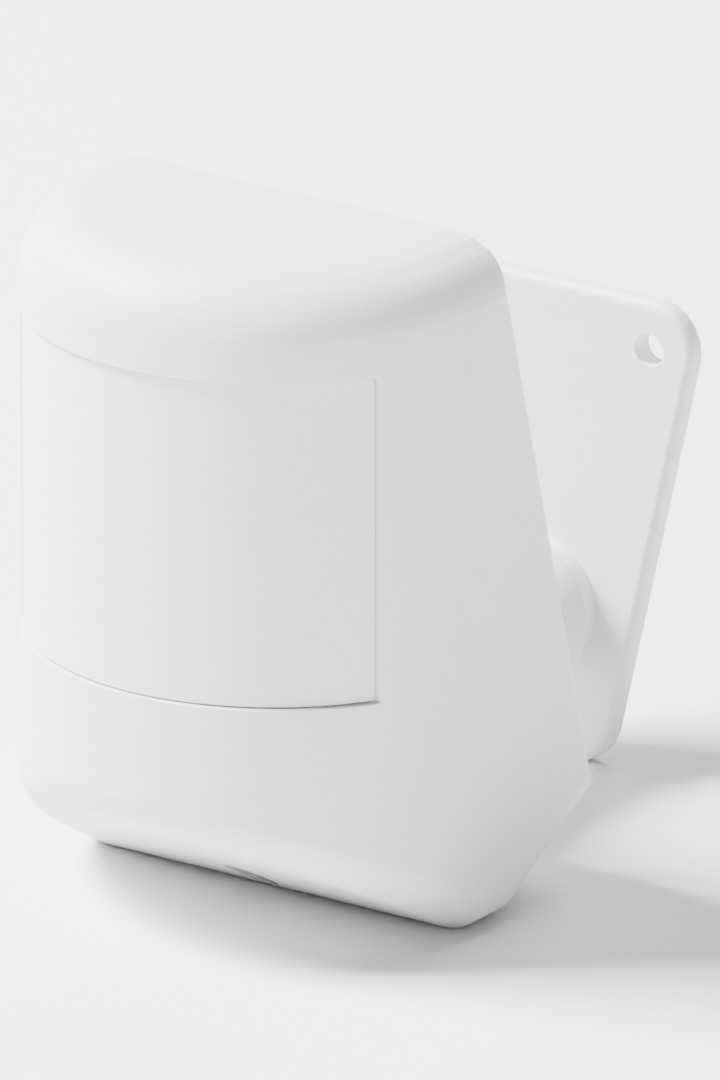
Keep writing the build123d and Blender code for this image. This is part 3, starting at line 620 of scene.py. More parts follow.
# ---------------------------------------------------------------- head
@dataclass
class HeadForm:
    """The head's outline: a half-round front, a leaning back and a chin that slopes up."""

    axis: float
    half: float
    top: float
    base: float
    back_set: float = 4.3 * MM
    lean: float = radians(15)
    chin: float = radians(30)
    base_flat: float = 7.3 * MM
    knee_rise: float = 9.9 * MM
    top_round: float = 8 * MM
    bottom_round: float = 6 * MM
    back_round: float = 3 * MM
    knee_round: float = 6 * MM
    wall: float = 2 * MM
    columns: int = 96
    steps: int = 9
    closest: float = 0.08 * MM

    def __post_init__(self) -> None:
        """Work out the places that follow from the sizes."""
        self.back_top = self.axis + self.back_set
        self.base_back = self.axis + self.base_flat
        self.knee_z = self.base + self.knee_rise
        self.knee_y = self.back_top + tan(self.lean) * (self.top - self.knee_z)
        self.rise = atan(self.knee_rise / (self.knee_y - self.base_back))

    def back_y(self, z: float, depth: float = 0.0) -> float:
        """Return Y of the leaning back at height z, or of the plane that lies depth inside it."""
        return self.back_top + tan(self.lean) * (self.top - z) - depth / cos(self.lean)

    def back_line(self, depth: float) -> tuple[float, float, float]:
        """Return the back's line in the side view, depth inside it."""
        return self.back_y(0, depth), 0.0, 90 + degrees(self.lean)

    def rise_line(self, depth: float) -> tuple[float, float, float]:
        """Return the rear rise's line in the side view, depth inside it."""
        y = self.base_back - depth * sin(self.rise)
        return y, self.base + depth * cos(self.rise), degrees(self.rise)

    def base_line(self, depth: float) -> tuple[float, float, float]:
        """Return the flat base's line in the side view, depth inside it."""
        return 0.0, self.base + depth, 0.0

    def chin_line(self, depth: float) -> tuple[float, float, float]:
        """Return the chin's line in the side view, depth inside it."""
        y = self.axis + depth * sin(self.chin)
        return y, self.base + depth * cos(self.chin), 180 - degrees(self.chin)

    def knee(self, radius: float, rear: float, back: float, under: float) -> list[Pair]:
        """Return the rounded knee's points in the side view.

        Args:
            radius: the knee's rounding.
            rear: how far the whole rear lies inside the outer form.
            back: how much further in the back's own face lies here.
            under: how much further in the rear rise lies here.

        Returns:
            As many points for each call, all at one place where the roundings cut the knee off.
        """
        centre = crossing(self.back_line(rear + radius), self.rise_line(rear + radius))
        first = self.lean - acos(max(-1.0, 1 - back / radius))
        last = self.rise - pi / 2 + acos(max(-1.0, 1 - under / radius))
        if first <= last:
            return [crossing(self.back_line(rear + back), self.rise_line(rear + under))] * (self.steps + 1)
        turns = [first + (last - first) * i / self.steps for i in range(self.steps + 1)]
        return [(centre[0] + radius * cos(a), centre[1] + radius * sin(a)) for a in turns]

    def bands(self, half: float, roundings: Sequence[float]) -> list[float]:
        """Return the X of each slice across one side's roundings, from the flat out to the side."""
        found = {half - radius for radius in roundings} | {half}
        for radius in sorted(roundings):
            for i in range(1, self.steps):
                x = half - radius + radius * cos(pi / 2 * i / self.steps)
                if min(abs(x - other) for other in found) > self.closest:
                    found.add(x)
        return sorted(found)

    def solid(self, name: str, inset: float = 0.0, rear: float = 0.0) -> bpy.types.Object:
        """Build the closed form.

        Args:
            name: the object's name.
            inset: how far the front, sides, top and base move in.
            rear: how far the leaning back and the rear rise move in.

        Returns:
            The closed mesh, which is the hollow inside the case where insets are given.
        """
        half = self.half - inset
        top = self.top - inset
        top_r = self.top_round - inset
        base_r = self.bottom_round - inset
        knee_r = max(self.knee_round - rear, self.wall / 4)
        bands = self.bands(half, (top_r, base_r, self.back_round))
        canal_z = self.base + (inset + base_r) / cos(self.chin)
        canal_reach = half - base_r
        turns = [pi * (i / self.columns - 0.5) for i in range(self.columns + 1)]

        def top_row(x: float) -> list[Vector]:
            """Return the front's row of the top rounding at distance x from the axis."""
            z = top - sink(x, half, top_r)
            return [Vector((x * sin(a), self.axis - x * cos(a), z)) for a in turns]

        def chin_row(x: float) -> list[Vector]:
            """Return the row of the chin's rounding that meets the side's slice at x."""
            share = asin(1 - sink(x, half, base_r) / base_r) / (pi / 2)
            down = Vector((0, -sin(self.chin), -cos(self.chin)))
            row = []
            for a in turns:
                out = Vector((sin(a), -cos(a), 0))
                z = canal_z + tan(self.chin) * canal_reach * cos(a)
                centre = Vector((canal_reach * sin(a), self.axis - canal_reach * cos(a), z))
                row.append(centre + out.slerp(down, share) * base_r)
            return row

        def slice_at(x: float) -> list[Pair]:
            """Return the rear half's outline at X = x, from the top over the back to the chin."""
            z = top - sink(x, half, top_r)
            back = sink(x, half, self.back_round)
            under = sink(x, half, base_r)
            outline = [(self.axis, z), (max(self.axis, self.back_y(z, rear + back)), z)]
            outline += self.knee(knee_r, rear, back, under)
            outline.append(crossing(self.rise_line(rear + under), self.base_line(inset + under)))
            outline.append(crossing(self.base_line(inset + under), self.chin_line(inset + under)))
            return outline

        skin = Skin()
        slices = {x: slice_at(x) for x in bands}
        top_rows = [top_row(x) for x in bands if x >= half - top_r - WELD]
        chin_rows = [chin_row(x) for x in bands if x >= half - base_r - WELD]
        for rows in (top_rows, chin_rows):
            for first, second in zip(rows, rows[1:]):
                skin.strip(first, second)
        skin.strip(top_rows[-1], chin_rows[-1])
        for side in (-1, 1):
            for near, far in zip(bands, bands[1:]):
                first = [(side * near, y, z) for y, z in slices[near]]
                second = [(side * far, y, z) for y, z in slices[far]]
                skin.strip(first, second)
            end = 0 if side < 0 else -1
            ends = [row[end] for row in chin_rows]
            kinks = [(side * x, *slices[x][-1]) for x in bands if x >= half - base_r - WELD]
            skin.strip(ends, kinks)
            skin.face(*[(side * half, y, z) for y, z in slices[half]], chin_rows[-1][end])
        inner = bands[0]
        left = [(-inner, y, z) for y, z in slices[inner]]
        right = [(inner, y, z) for y, z in slices[inner]]
        skin.strip(left[1:], right[1:])
        skin.face(*top_rows[0], right[1], left[1])
        flat = [x for x in bands if x <= half - base_r + WELD]
        kink = [(x, *slices[abs(x)][-1]) for x in [-x for x in reversed(flat)] + flat]
        skin.face(*chin_rows[0], *reversed(kink))
        made = skin.build(name)
        merge_flat(made)
        return made


@dataclass
class RearOpening:
    """Slabs that follow the head's rear, for the rear cover and for the opening that it closes."""

    form: HeadForm
    inset: float = 5.6 * MM
    end_gap: float = 3.5 * MM
    corner: float = 5 * MM
    thickness: float = 2 * MM
    seal: float = 0.5 * MM
    ledge: float = 1.2 * MM
    ledge_width: float = 1.5 * MM
    fit: float = 0.15 * MM
    steps: int = 8

    def slab(self, name: str, grow: float, near: float, far: float) -> bpy.types.Object:
        """Build a slab between two depths, larger than the cover by grow, with rounded corners."""
        form = self.form
        half = form.half - self.inset + grow
        corner = self.corner + grow
        end = self.end_gap - grow
        knee = crossing(form.back_line(form.knee_round), form.rise_line(form.knee_round))
        back_start = Vector((form.back_top + end * sin(form.lean), form.top - end * cos(form.lean)))
        rise_end = Vector((form.base_back + end * cos(form.rise), form.base + end * sin(form.rise)))
        back_out = Vector((cos(form.lean), sin(form.lean)))
        rise_out = Vector((sin(form.rise), -cos(form.rise)))
        down_back = Vector((sin(form.lean), -cos(form.lean)))
        up_rise = Vector((cos(form.rise), sin(form.rise)))
        rounding = [(corner * (1 - cos(a)), half - corner * (1 - sin(a))) for a in
                    (pi / 2 * i / self.steps for i in range(self.steps + 1))]
        rows = [(back_start + down_back * along, back_out, width) for along, width in rounding]
        for i in range(form.steps + 1):
            a = form.lean + (form.rise - pi / 2 - form.lean) * i / form.steps
            out = Vector((cos(a), sin(a)))
            rows.append((Vector(knee) + out * form.knee_round, out, half))
        rows += [(rise_end + up_rise * along, rise_out, width) for along, width in reversed(rounding)]
        skin = Skin()
        loops = []
        for point, out, width in rows:
            outer, inner = point - out * near, point - out * far
            loops.append([
                (-width, *outer), (width, *outer), (width, *inner), (-width, *inner), (-width, *outer)
            ])
        for first, second in zip(loops, loops[1:]):
            skin.strip(first, second)
        skin.face(*loops[0][:4])
        skin.face(*loops[-1][:4])
        made = skin.build(name)
        merge_flat(made)
        return made

    def at(self, x: float, z: float) -> tuple[Vector, Vector]:
        """Return the point of the leaning back at X and Z, and the way out of it."""
        out = Vector((0, cos(self.form.lean), sin(self.form.lean)))
        return Vector((x, self.form.back_y(z), z)), out


@dataclass
class CoverScrews:
    """Where the rear cover's screws stand, and the bosses that take them."""

    side_inset: float = 9.5 * MM
    below_top: float = 13.2 * MM
    above_knee: float = 14.9 * MM
    bore: float = 1.27 * MM
    clearance: float = 1.4 * MM
    countersink: float = 2.52 * MM
    boss: float = 3 * MM
    boss_length: float = 9 * MM

    def places(self, form: HeadForm) -> list[Pair]:
        """Return X and Z of each screw."""
        x = form.half - self.side_inset
        heights = (form.top - self.below_top, form.knee_z + self.above_knee)
        return [(side * x, z) for z in heights for side in (-1, 1)]


@dataclass
class Housing:
    """The front case: a hollow head with a lens window, a light port and an open rear."""

    form: HeadForm
    opening: RearOpening
    screws: CoverScrews
    window: "Window"
    port_radius: float = 2.5 * MM
    port_wall: float = 1.5 * MM
    port_height: float = 2.9 * MM
    port_end: float = 0.8 * MM
    edge: float = 0.22 * MM
    sides: int = 44

    def build(self) -> bpy.types.Object:
        """Carve the case out of the head's closed form."""
        form, opening = self.form, self.opening
        seat = opening.thickness + opening.seal
        rear = seat + opening.ledge
        hollow = form.solid("hollow", form.wall, rear)
        way_in = opening.slab("way_in", -opening.ledge_width, seat / 2, rear + 0.1 * MM)
        places = self.screws.places(form)
        for x, z in places:
            carve(hollow, self.rib(x, z, seat))
            for room in (hollow, way_in):
                carve(room, self.post("boss", x, z, self.screws.boss, -MM, seat))
        case = form.solid("front_case")
        carve(case, hollow)
        carve(case, opening.slab("cover_room", opening.fit, -form.half / 2, seat))
        carve(case, way_in)
        for x, z in places:
            carve(case, self.post("screw_hole", x, z, self.screws.bore, 0, seat - MM))
        carve(case, self.window.block("window"))
        port_z = form.base + self.port_height
        boss = cylinder("port_boss", self.port_radius + self.port_wall, form.axis - form.half,
                        form.axis + self.port_end, 0, port_z)
        carve(boss, form.solid("trim", form.wall / 2, form.wall / 2), Cut.WITHIN)
        carve(case, boss, Cut.JOIN)
        carve(case, cylinder("port", self.port_radius, form.axis - form.half - MM,
                             form.axis + self.port_end + MM, 0, port_z))
        merge_flat(case)
        soften(case, self.edge)
        return case

    def post(
        self, name: str, x: float, z: float, radius: float, start: float, seat: float
    ) -> bpy.types.Object:
        """Build a round bar square to the back, from start to a boss's length below the seat."""
        point, out = self.opening.at(x, z)
        end = seat + self.screws.boss_length
        outline = [(0, -end), (radius, -end), (radius, -start), (0, -start)]
        return turned(name, outline, point, out, self.sides)

    def rib(self, x: float, z: float, seat: float) -> bpy.types.Object:
        """Build the rib that ties one screw boss to the side wall, a little shorter than the boss."""
        point, out = self.opening.at(x, z)
        trim = self.opening.ledge / 2
        side = 1 if x > 0 else -1
        across = Vector((0, -sin(self.form.lean), cos(self.form.lean))) * self.screws.boss / 2
        reach = Vector((side * (self.screws.side_inset - self.form.wall / 2), 0, 0))
        corners = [point + across, point + across + reach, point - across + reach, point - across]
        low = [corner - out * (seat + self.screws.boss_length - trim) for corner in corners]
        high = [corner - out * (seat + trim) for corner in corners]
        rib = Skin()
        rib.strip(low + low[:1], high + high[:1])
        rib.face(*low)
        rib.face(*high)
        return rib.build("rib")


@dataclass
class Window:
    """The curved window in the front, and the arcs that fill it."""

    axis: float
    half: float
    low: float
    high: float
    front: float = 15.3 * MM
    recess: float = 0.57 * MM
    fit: float = 0.15 * MM
    margin: float = 2 * MM
    wall: float = 2.02 * MM
    flange: float = 1.05 * MM
    sheet: float = 1 * MM
    columns: int = 80
    facet_row: float = 0.5 * MM
    lenslet: float = 11.6 * MM
    pitch: float = 2.4 * MM
    tiers: int = 3

    def block(self, name: str) -> bpy.types.Object:
        """Build everything in front of the window's end walls, between its two heights."""
        end = self.axis - self.front
        skin = Skin()
        reach = 2 * self.half
        low = [(-reach, end, self.low), (reach, end, self.low), (reach, end - reach, self.low),
               (-reach, end - reach, self.low)]
        high = [(x, y, self.high) for x, y, _ in low]
        skin.strip(low + low[:1], high + high[:1])
        skin.face(*low)
        skin.face(*high)
        return skin.build(name)

    def arc(
        self, name: str, inner: float, outer: float, end: float, low: float, high: float, facets: float = 0.0
    ) -> bpy.types.Object:
        """Build a curved sheet about the head's axis.

        Args:
            name: the object's name.
            inner: radius of its inner face.
            outer: radius of its outer face.
            end: Y where it stops on both sides.
            low: its lowest Z.
            high: its highest Z.
            facets: depth of the Fresnel rings on its outer face, or 0 for a plain face.

        Returns:
            The closed mesh.
        """
        rows = max(1, ceil((high - low) / self.facet_row)) if facets else 1
        columns = 2 * self.columns if facets else self.columns
        grids = []
        for radius in (inner, outer):
            limit = acos((self.axis - end) / radius)
            grid = []
            for j in range(rows + 1):
                z = low + (high - low) * j / rows
                line = []
                for i in range(columns + 1):
                    a = limit * (2 * i / columns - 1)
                    edge = i in (0, columns) or j in (0, rows)
                    ripple = 0.0 if radius == inner or edge else self.rings(a * radius, z) * facets
                    r = radius + ripple
                    line.append((r * sin(a), self.axis - r * cos(a), z))
                grid.append(line)
            grids.append(grid)
        skin = Skin()
        for grid in grids:
            for first, second in zip(grid, grid[1:]):
                skin.strip(first, second)
        for row in (0, -1):
            skin.strip(grids[0][row], grids[1][row])
        for column in (0, -1):
            skin.strip([row[column] for row in grids[0]], [row[column] for row in grids[1]])
        return skin.build(name)

    def rings(self, along: float, z: float) -> float:
        """Return the height, 0 to 1, of the Fresnel rings at a place on the lens."""
        tier = (self.high - self.low) / self.tiers
        across = (along / self.lenslet + 0.5) % 1 - 0.5
        up = ((z - self.low) / tier) % 1 - 0.5
        return hypot(across * self.lenslet, up * tier) / self.pitch % 1


@dataclass
class Lens:
    """The milky lens: a panel that stands in the window, a flange behind it and rings inside."""

    window: Window
    edge: float = 0.18 * MM
    facets: float = 0.16 * MM

    def build(self) -> bpy.types.Object:
        """Join the panel and its flange, then hollow them."""
        window = self.window
        end = window.axis - window.front
        low, high = window.low + window.fit, window.high - window.fit
        flange_outer = window.half - window.wall
        flange_inner = flange_outer - window.flange
        panel_outer = window.half - window.recess
        lens = window.arc("lens", flange_inner + window.flange / 2, panel_outer, end - window.fit, low, high)
        flange = window.arc("flange", flange_inner, flange_outer, end + window.margin,
                            window.low - window.margin, window.high + window.margin)
        carve(lens, flange, Cut.JOIN)
        merge_flat(lens)
        soften(lens, self.edge)
        settle(lens)
        rim = window.fit + window.sheet
        inside = window.arc("rings", flange_inner - window.flange, panel_outer - window.sheet,
                            end - rim, low + rim, high - rim, facets=self.facets)
        carve(lens, inside)
        lens.data.set_sharp_from_angle(angle=radians(40))
        return lens


# ---------------------------------------------------------------- rear cover
@dataclass
class RearCover:
    """The cover: a plate bent round the knee, with posts, a collar for the arm and screw holes."""

    form: HeadForm
    opening: RearOpening
    screws: CoverScrews
    board: tuple[Vector, Vector]
    plunger: Pair
    plunger_tip: float
    pinhole: Pair
    arm_bore: float = 7.1 * MM
    collar_wall: float = 3 * MM
    collar_depth: float = 6 * MM
    shoulder: float = 8.5 * MM
    shoulder_stand: float = 0.6 * MM
    shoulder_root: float = 3 * MM
    post: float = 2.5 * MM
    post_bore: float = 1.02 * MM
    post_side: float = 5 * MM
    post_top: float = 6.2 * MM
    post_base: float = 5.4 * MM
    boss_room: float = 0.3 * MM
    plunger_radius: float = 1.2 * MM
    pinhole_radius: float = 1 * MM
    edge: float = 0.25 * MM
    sides: int = 48

    def post_places(self) -> list[Pair]:
        """Return X and Z of the posts that stand on the board's screw holes."""
        low, high = self.board
        x = high.x - self.post_side
        return [(side * x, z) for z in (high.z - self.post_top, low.z + self.post_base) for side in (-1, 1)]

    def build(self) -> bpy.types.Object:
        """Build the bent plate, add what stands on it and drill it."""
        form, opening = self.form, self.opening
        thickness = opening.thickness
        board_back = self.board[1].y + PRESSED
        posts = self.post_places()
        cover = opening.slab("rear_shell", 0, 0, thickness)
        grown = -opening.ledge_width - opening.fit
        lip = opening.slab("lip", grown, thickness / 2, thickness + opening.seal + opening.ledge)
        inner = opening.slab("lip_room", grown - opening.ledge, 0, 4 * thickness)
        carve(lip, inner)
        for x, z in self.screws.places(form):
            point, out = opening.at(x, z)
            room = self.screws.boss + self.boss_room
            end = -4 * thickness
            notch = [(0, end), (room, end), (room, MM), (0, MM)]
            carve(lip, turned("notch", notch, point, out, self.sides))
        carve(cover, lip, Cut.JOIN)
        collar_front = form.back_y(0, thickness) - self.collar_depth
        face = form.back_y(-self.shoulder) + self.shoulder_stand
        middle = form.back_y(0, thickness / 2)
        carve(cover, self.stub(self.arm_bore + self.collar_wall, collar_front, "collar"), Cut.JOIN)
        carve(cover, cylinder("shoulder_boss", self.shoulder, middle - self.shoulder_root, face), Cut.JOIN)
        for x, z in posts:
            carve(cover, self.stub(self.post, board_back, "post", x, z), Cut.JOIN)
        carve(cover, self.stub(self.plunger_radius, self.plunger_tip, "finger", *self.plunger), Cut.JOIN)
        for x, z in posts:
            end = form.back_y(z, 2 * thickness)
            carve(cover, cylinder("post_hole", self.post_bore, board_back - MM, end - MM, x, z))
        carve(cover, cylinder("arm_hole", self.arm_bore, collar_front - MM, 0))
        carve(cover, cylinder("pair_hole", self.pinhole_radius, board_back, 0, *self.pinhole))
        for x, z in self.screws.places(form):
            point, out = opening.at(x, z)
            wide, narrow = self.screws.countersink, self.screws.clearance
            end = -3 * thickness
            cone = [(0, end), (narrow, end), (narrow, narrow - wide), (wide, 0), (wide, MM), (0, MM)]
            carve(cover, turned("countersink", cone, point, out, self.sides))
        merge_flat(cover)
        soften(cover, self.edge)
        return cover

    def stub(
        self, radius: float, start: float, name: str, x: float = 0.0, z: float = 0.0
    ) -> bpy.types.Object:
        """Build a round stub from start to the middle of the leaning plate."""
        stub = cylinder(name, radius, start, self.form.back_y(z - radius), x, z)
        inner = self.opening.slab("keep", self.form.half, self.opening.thickness / 2, 2 * self.form.half)
        carve(stub, inner, Cut.WITHIN)
        return stub


# ---------------------------------------------------------------- wall plate and arm
@dataclass
class WallPlate:
    """The tapered plate with rounded corners and rims, three screw holes and the ball's dome."""

    top: float
    bottom: float
    thickness: float = 3 * MM
    top_width: float = 46.2 * MM
    bottom_width: float = 18.4 * MM
    corner: float = 6 * MM
    rim: float = 1 * MM
    hole: float = 2 * MM
    dome: float = 8 * MM
    dome_inner: float = 6 * MM
    screw_bore: float = 1.35 * MM
    flare: float = 1.65 * MM
    swing: float = radians(21.1)
    edge: float = 0.15 * MM
    steps: int = 12
    rim_steps: int = 6
    dome_steps: int = 24
    sides: int = 128

    def centres(self) -> list[tuple[float, float, float, float]]:
        """Return each corner's centre and the bearings where its rounding starts and ends."""
        taper = atan((self.top_width - self.bottom_width) / 2 / (self.top - self.bottom))
        upper = self.top_width / 2 - self.corner / tan((pi / 2 - taper) / 2)
        lower = self.bottom_width / 2 - self.corner / tan((pi / 2 + taper) / 2)
        high, low = self.top - self.corner, self.bottom + self.corner
        return [
            (upper, high, pi / 2, -taper),
            (lower, low, -taper, -pi / 2),
            (-lower, low, -pi / 2, taper - pi),
            (-upper, high, pi + taper, pi / 2),
        ]

    def outline(self, inset: float, y: float) -> list[tuple[float, float, float]]:
        """Return the plate's closed outline, moved in by inset, at one Y."""
        points = []
        for x, z, start, end in self.centres():
            for i in range(self.steps + 1):
                a = start + (end - start) * i / self.steps
                r = self.corner - inset
                points.append((x + r * cos(a), y, z + r * sin(a)))
        return points + points[:1]

    def build(self) -> bpy.types.Object:
        """Build the plate, drill it and stand the dome on it."""
        rows = []
        rounding = [pi / 2 * i / self.rim_steps for i in range(self.rim_steps + 1)]
        for a in rounding:
            rows.append(self.outline(self.rim * (1 - sin(a)), -self.rim * (1 - cos(a))))
        for a in reversed(rounding):
            rows.append(self.outline(self.rim * (1 - sin(a)), -self.thickness + self.rim * (1 - cos(a))))
        skin = Skin()
        for first, second in zip(rows, rows[1:]):
            skin.strip(first, second)
        skin.face(*rows[0][:-1])
        skin.face(*rows[-1][:-1])
        plate = skin.build("mounting_plate")
        upper, lower = self.centres()[0], self.centres()[1]
        for x, z in [(-upper[0], upper[1]), (upper[0], upper[1]), (0, lower[1])]:
            carve(plate, cylinder("hole", self.hole, -2 * self.thickness, self.thickness, x, z))
        ball = -self.thickness
        turns = [pi / 2 * i / self.dome_steps for i in range(self.dome_steps + 1)]
        outer = [(self.dome * sin(a), ball - self.dome * cos(a)) for a in turns]
        dome = turned("dome", [*outer, (self.dome, ball / 2), (0, ball / 2)], segments=self.sides)
        carve(plate, dome, Cut.JOIN)
        inner = [(self.dome_inner * sin(a), ball - self.dome_inner * cos(a)) for a in turns]
        carve(plate, turned("dome_room", [*inner, (self.dome_inner, MM), (0, MM)], segments=self.sides))
        reach = self.dome + 2 * MM
        wide = self.flare + reach * tan(self.swing)
        cone = [(0, ball), (self.flare, ball), (wide, ball - reach), (0, ball - reach)]
        carve(plate, turned("flare", cone))
        merge_flat(plate)
        soften(plate, self.edge, angle=radians(30))
        return plate


@dataclass
class SwivelArm:
    """The arm: a cup that grips the dome, a neck, a shoulder against the cover and a threaded end."""

    ball: float
    front: float
    shoulder_front: float
    shoulder_thickness: float = 2 * MM
    cup: float = 11 * MM
    cup_inner: float = 8.57 * MM
    rim: float = 4.6 * MM
    neck: float = 7 * MM
    shoulder: float = 8.5 * MM
    core: float = 3.5 * MM
    bore: float = 1.35 * MM
    insert: float = 2.22 * MM
    insert_start: float = 12 * MM
    insert_end: float = 18 * MM
    fillet: float = 1.2 * MM
    rim_round: float = 0.25 * MM
    edge: float = 0.2 * MM
    screws: int = 3
    screw_circle: float = 5.25 * MM
    pilot: float = 1.02 * MM
    pilot_depth: float = 6 * MM
    steps: int = 24
    fillet_steps: int = 6
    sides: int = 128

    def profile(self) -> list[Pair]:
        """Return the arm's closed outline as pairs of radius and Y."""
        def ball_at(radius: float, a: float) -> Pair:
            """Return a point of a ball about the joint's centre, at an angle off the axis."""
            return radius * sin(a), self.ball - radius * cos(a)

        def round_off(corner: Pair, before: Pair, after: Pair, size: float) -> list[Pair]:
            """Return a corner cut back by size and rounded."""
            first = Vector(before) - Vector(corner)
            last = Vector(after) - Vector(corner)
            start = Vector(corner) + first.normalized() * size
            end = Vector(corner) + last.normalized() * size
            middle = (start + end) / 4 + Vector(corner) / 2
            return [tuple(start), tuple(middle), tuple(end)]

        rim_y = self.ball - self.rim
        outer_rim = (sqrt(self.cup ** 2 - self.rim ** 2), rim_y)
        inner_rim = (sqrt(self.cup_inner ** 2 - self.rim ** 2), rim_y)
        reach = self.cup + self.fillet
        blend_a = asin((self.neck + self.fillet) / reach)
        blend_centre = ball_at(reach, blend_a)
        rim_a = acos(self.rim / self.cup)
        outer_turns = [rim_a - (rim_a - blend_a) * i / self.steps for i in range(1, self.steps + 1)]
        outline = round_off(outer_rim, inner_rim, ball_at(self.cup, outer_turns[0]), self.rim_round)
        outline += [ball_at(self.cup, a) for a in outer_turns]
        for i in range(1, self.fillet_steps + 1):
            a = pi / 2 - blend_a + blend_a * i / self.fillet_steps
            outline.append((blend_centre[0] - self.fillet * sin(a), blend_centre[1] + self.fillet * cos(a)))
        shoulder_back = self.shoulder_front + self.shoulder_thickness
        corners = [
            (self.neck, shoulder_back), (self.shoulder, shoulder_back),
            (self.shoulder, self.shoulder_front), (self.neck, self.shoulder_front),
            (self.neck, self.front), (self.core, self.front), (self.core, self.ball - self.insert_end),
            (self.insert, self.ball - self.insert_end), (self.insert, self.ball - self.insert_start),
            (self.bore, self.ball - self.insert_start),
        ]
        path = [outline[-1], *corners, (self.bore, self.ball - self.cup_inner)]
        for before, corner, after in zip(path, path[1:], path[2:]):
            outline += round_off(corner, before, after, self.edge)
        inner_start = asin(self.bore / self.cup_inner)
        swept = acos(self.rim / self.cup_inner) - inner_start
        outline += [ball_at(self.cup_inner, inner_start + swept * i / self.steps) for i in range(self.steps)]
        outline += round_off(inner_rim, outline[-1], outer_rim, self.edge)
        return outline

    def build(self) -> bpy.types.Object:
        """Turn the arm and drill its screw holes."""
        arm = turned("ball_arm", self.profile(), segments=self.sides)
        for i in range(self.screws):
            a = pi / 2 + 2 * pi / self.screws * i
            x, z = self.screw_circle * cos(a), self.screw_circle * sin(a)
            carve(arm, cylinder("pilot", self.pilot, self.front - MM, self.front + self.pilot_depth, x, z))
        for polygon in arm.data.polygons:
            polygon.use_smooth = True
        arm.data.set_sharp_from_angle(angle=radians(50))
        return arm


# ---------------------------------------------------------------- studio
@dataclass
class Studio:
    """Pale floor, soft lights and a long-lens camera off the front right corner."""

    floor: float
    centre: Vector
    azimuth: float = radians(35)
    elevation: float = radians(20)
    lens: float = 1000.0
    sensor: float = 36.0
    frame_height: float = 126.55 * MM
    shift_right: float = 2.04 * MM
    shift_up: float = -3.18 * MM

    def camera(self) -> None:
        """Create the camera and make it the scene's own."""
        a, e = self.azimuth, self.elevation
        right = Vector((cos(a), sin(a), 0))
        up = Vector((-sin(a) * sin(e), cos(a) * sin(e), cos(e)))
        back = right.cross(up)
        data = bpy.data.cameras.new("camera")
        data.lens = self.lens
        data.sensor_width = self.sensor
        distance = self.frame_height * self.lens / self.sensor
        data.clip_start = distance / 10
        data.clip_end = distance * 10
        camera = bpy.data.objects.new("camera", data)
        camera.location = self.centre + right * self.shift_right + up * self.shift_up + back * distance
        camera.rotation_mode = "QUATERNION"
        camera.rotation_quaternion = back.to_track_quat("Z", "Y")
        bpy.context.scene.collection.objects.link(camera)
        bpy.context.scene.camera = camera

    def light(
        self, name: str, azimuth: float, elevation: float, distance: float, size: float, watts: float
    ) -> None:
        """Create one square soft light that points at the object's middle."""
        a, e = radians(azimuth), radians(elevation)
        way = Vector((sin(a) * cos(e), -cos(a) * cos(e), sin(e)))
        data = bpy.data.lights.new(name, "AREA")
        data.shape = "SQUARE"
        data.size = size
        data.energy = watts
        lamp = bpy.data.objects.new(name, data)
        lamp.location = self.centre + way * distance
        lamp.rotation_mode = "QUATERNION"
        lamp.rotation_quaternion = way.to_track_quat("Z", "Y")
        bpy.context.scene.collection.objects.link(lamp)

    def backdrop(self) -> None:
        """Lay a pale floor and fill the world with pale light."""
        graph = Graph("floor_paper")
        fibre = graph.noise(0.9 * MM, 3.0, 0.6)
        tone = graph.blend(fibre, rgb(0.86, 0.86, 0.855), rgb(0.9, 0.9, 0.895))
        paper = graph.finish(Base_Color=tone, Roughness=0.9 + (fibre - 0.5) * 0.1)
        sheet = Skin()
        reach = 40.0
        sheet.face((-reach, -reach, self.floor), (reach, -reach, self.floor),
                   (reach, reach, self.floor), (-reach, reach, self.floor))
        floor = sheet.build("floor")
        floor.data.materials.append(paper)
        world = bpy.data.worlds.new("world")
        world.use_nodes = True
        background = world.node_tree.nodes["Background"]
        background.inputs["Color"].default_value = rgb(0.95, 0.96, 0.98)
        background.inputs["Strength"].default_value = 0.24
        bpy.context.scene.world = world

    def build(self) -> None:
        """Set up the whole studio."""
        self.camera()
        self.backdrop()
        self.light("key", -62, 50, 2.2, 0.8, 300.0)
        self.light("fill", 60, 20, 2.6, 1.6, 6.0)
        self.light("back", 175, 60, 2.4, 1.2, 40.0)


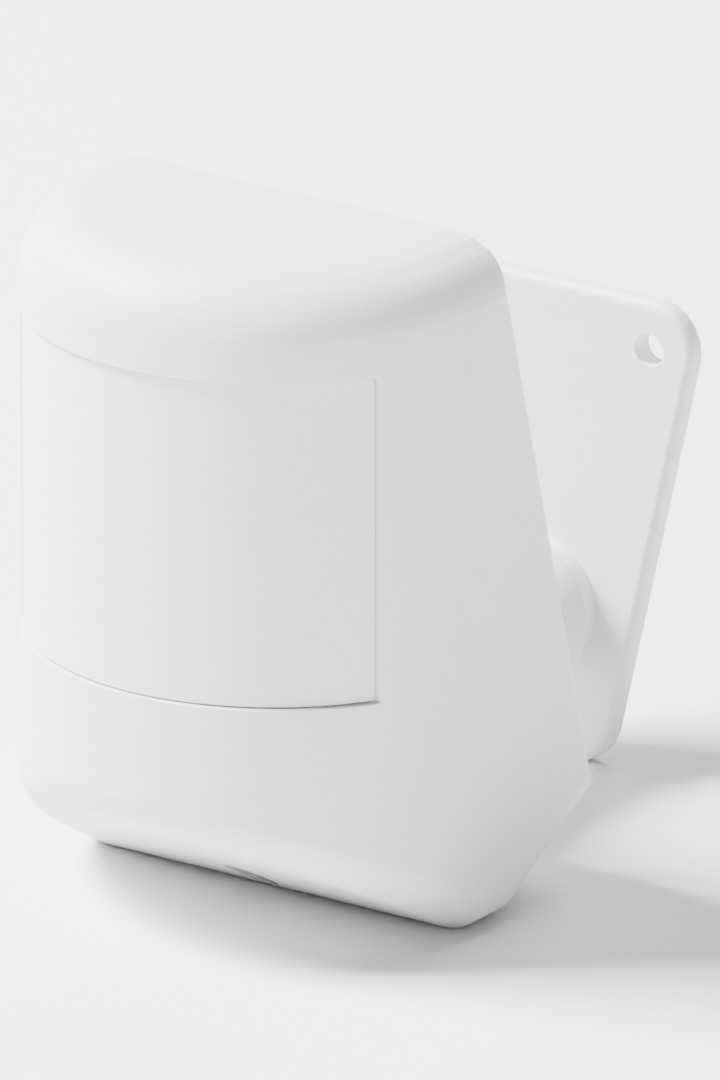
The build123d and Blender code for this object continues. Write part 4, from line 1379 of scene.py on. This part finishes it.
# ---------------------------------------------------------------- assembly
class Assembly:
    """Dresses the frame's own nodes and adds the modelled pieces in their place."""

    def __init__(self, paints: Paints) -> None:
        """Keep the finishes."""
        self.paints = paints
        self.slots = {part["node"]: part["material_slot"] for part in frame["record"]["subparts"]}

    def dress(self, node: str) -> None:
        """Give one of the frame's nodes its finish."""
        shown = frame["nodes"][node]
        material = self.paints.get(self.slots[node])
        if not shown.material_slots:
            shown.data.materials.append(material)
        for holder in shown.material_slots:
            holder.link = "OBJECT"
            holder.material = material
        log.info("dressed %s in %s", node, self.slots[node])

    def place(self, piece: bpy.types.Object, body: Body, node: str) -> None:
        """Finish a modelled piece and let it stand for a node."""
        piece.data.materials.clear()
        piece.data.materials.append(self.paints.get(self.slots[node]))
        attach(piece, body.value)
        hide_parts(node)
        log.info("built %s with %d faces in place of %s", piece.name, len(piece.data.polygons), node)


def middle_of(node: str) -> Vector:
    """Return the middle of a node's box."""
    low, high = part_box(node)
    return (low + high) / 2


def main() -> None:
    """Build the studio, dress every node and put the modelled pieces in place."""
    logging.basicConfig(level=logging.INFO, format="%(message)s")
    low, high = cad_box
    Studio(floor=low.z, centre=(low + high) / 2).build()
    assembly = Assembly(Paints())
    for node in sorted(frame["nodes"]):
        assembly.dress(node)

    case_low, case_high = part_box("front_housing")
    lens_low, lens_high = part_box("fresnel_lens")
    half = case_high.x
    form = HeadForm(axis=case_low.y + half, half=half, top=case_high.z, base=case_low.z)
    opening = RearOpening(form)
    screws = CoverScrews()
    margin = Window.margin
    window = Window(form.axis, half, lens_low.z + margin, lens_high.z - margin)
    assembly.place(Housing(form, opening, screws, window).build(), Body.HEAD, "front_housing")
    assembly.place(Lens(window).build(), Body.HEAD, "fresnel_lens")

    plate_low, plate_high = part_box("wall_plate")
    plate = WallPlate(top=plate_high.z, bottom=plate_low.z)
    assembly.place(plate.build(), Body.WALL, "wall_plate")
    arm_low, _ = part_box("swivel_arm")
    face = form.back_y(-SwivelArm.shoulder) + RearCover.shoulder_stand + PRESSED
    arm = SwivelArm(ball=-plate.thickness, front=arm_low.y, shoulder_front=face)
    assembly.place(arm.build(), Body.HEAD, "swivel_arm")

    plunger = middle_of("tamper_plunger")
    button = middle_of("pair_button")
    cover = RearCover(
        form, opening, screws, board=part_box("main_board"), plunger=(plunger.x, plunger.z),
        plunger_tip=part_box("tamper_plunger")[1].y + RUNNING, pinhole=(button.x, button.z),
    )
    assembly.place(cover.build(), Body.HEAD, "rear_cover")


if __name__ == "__main__":
    main()
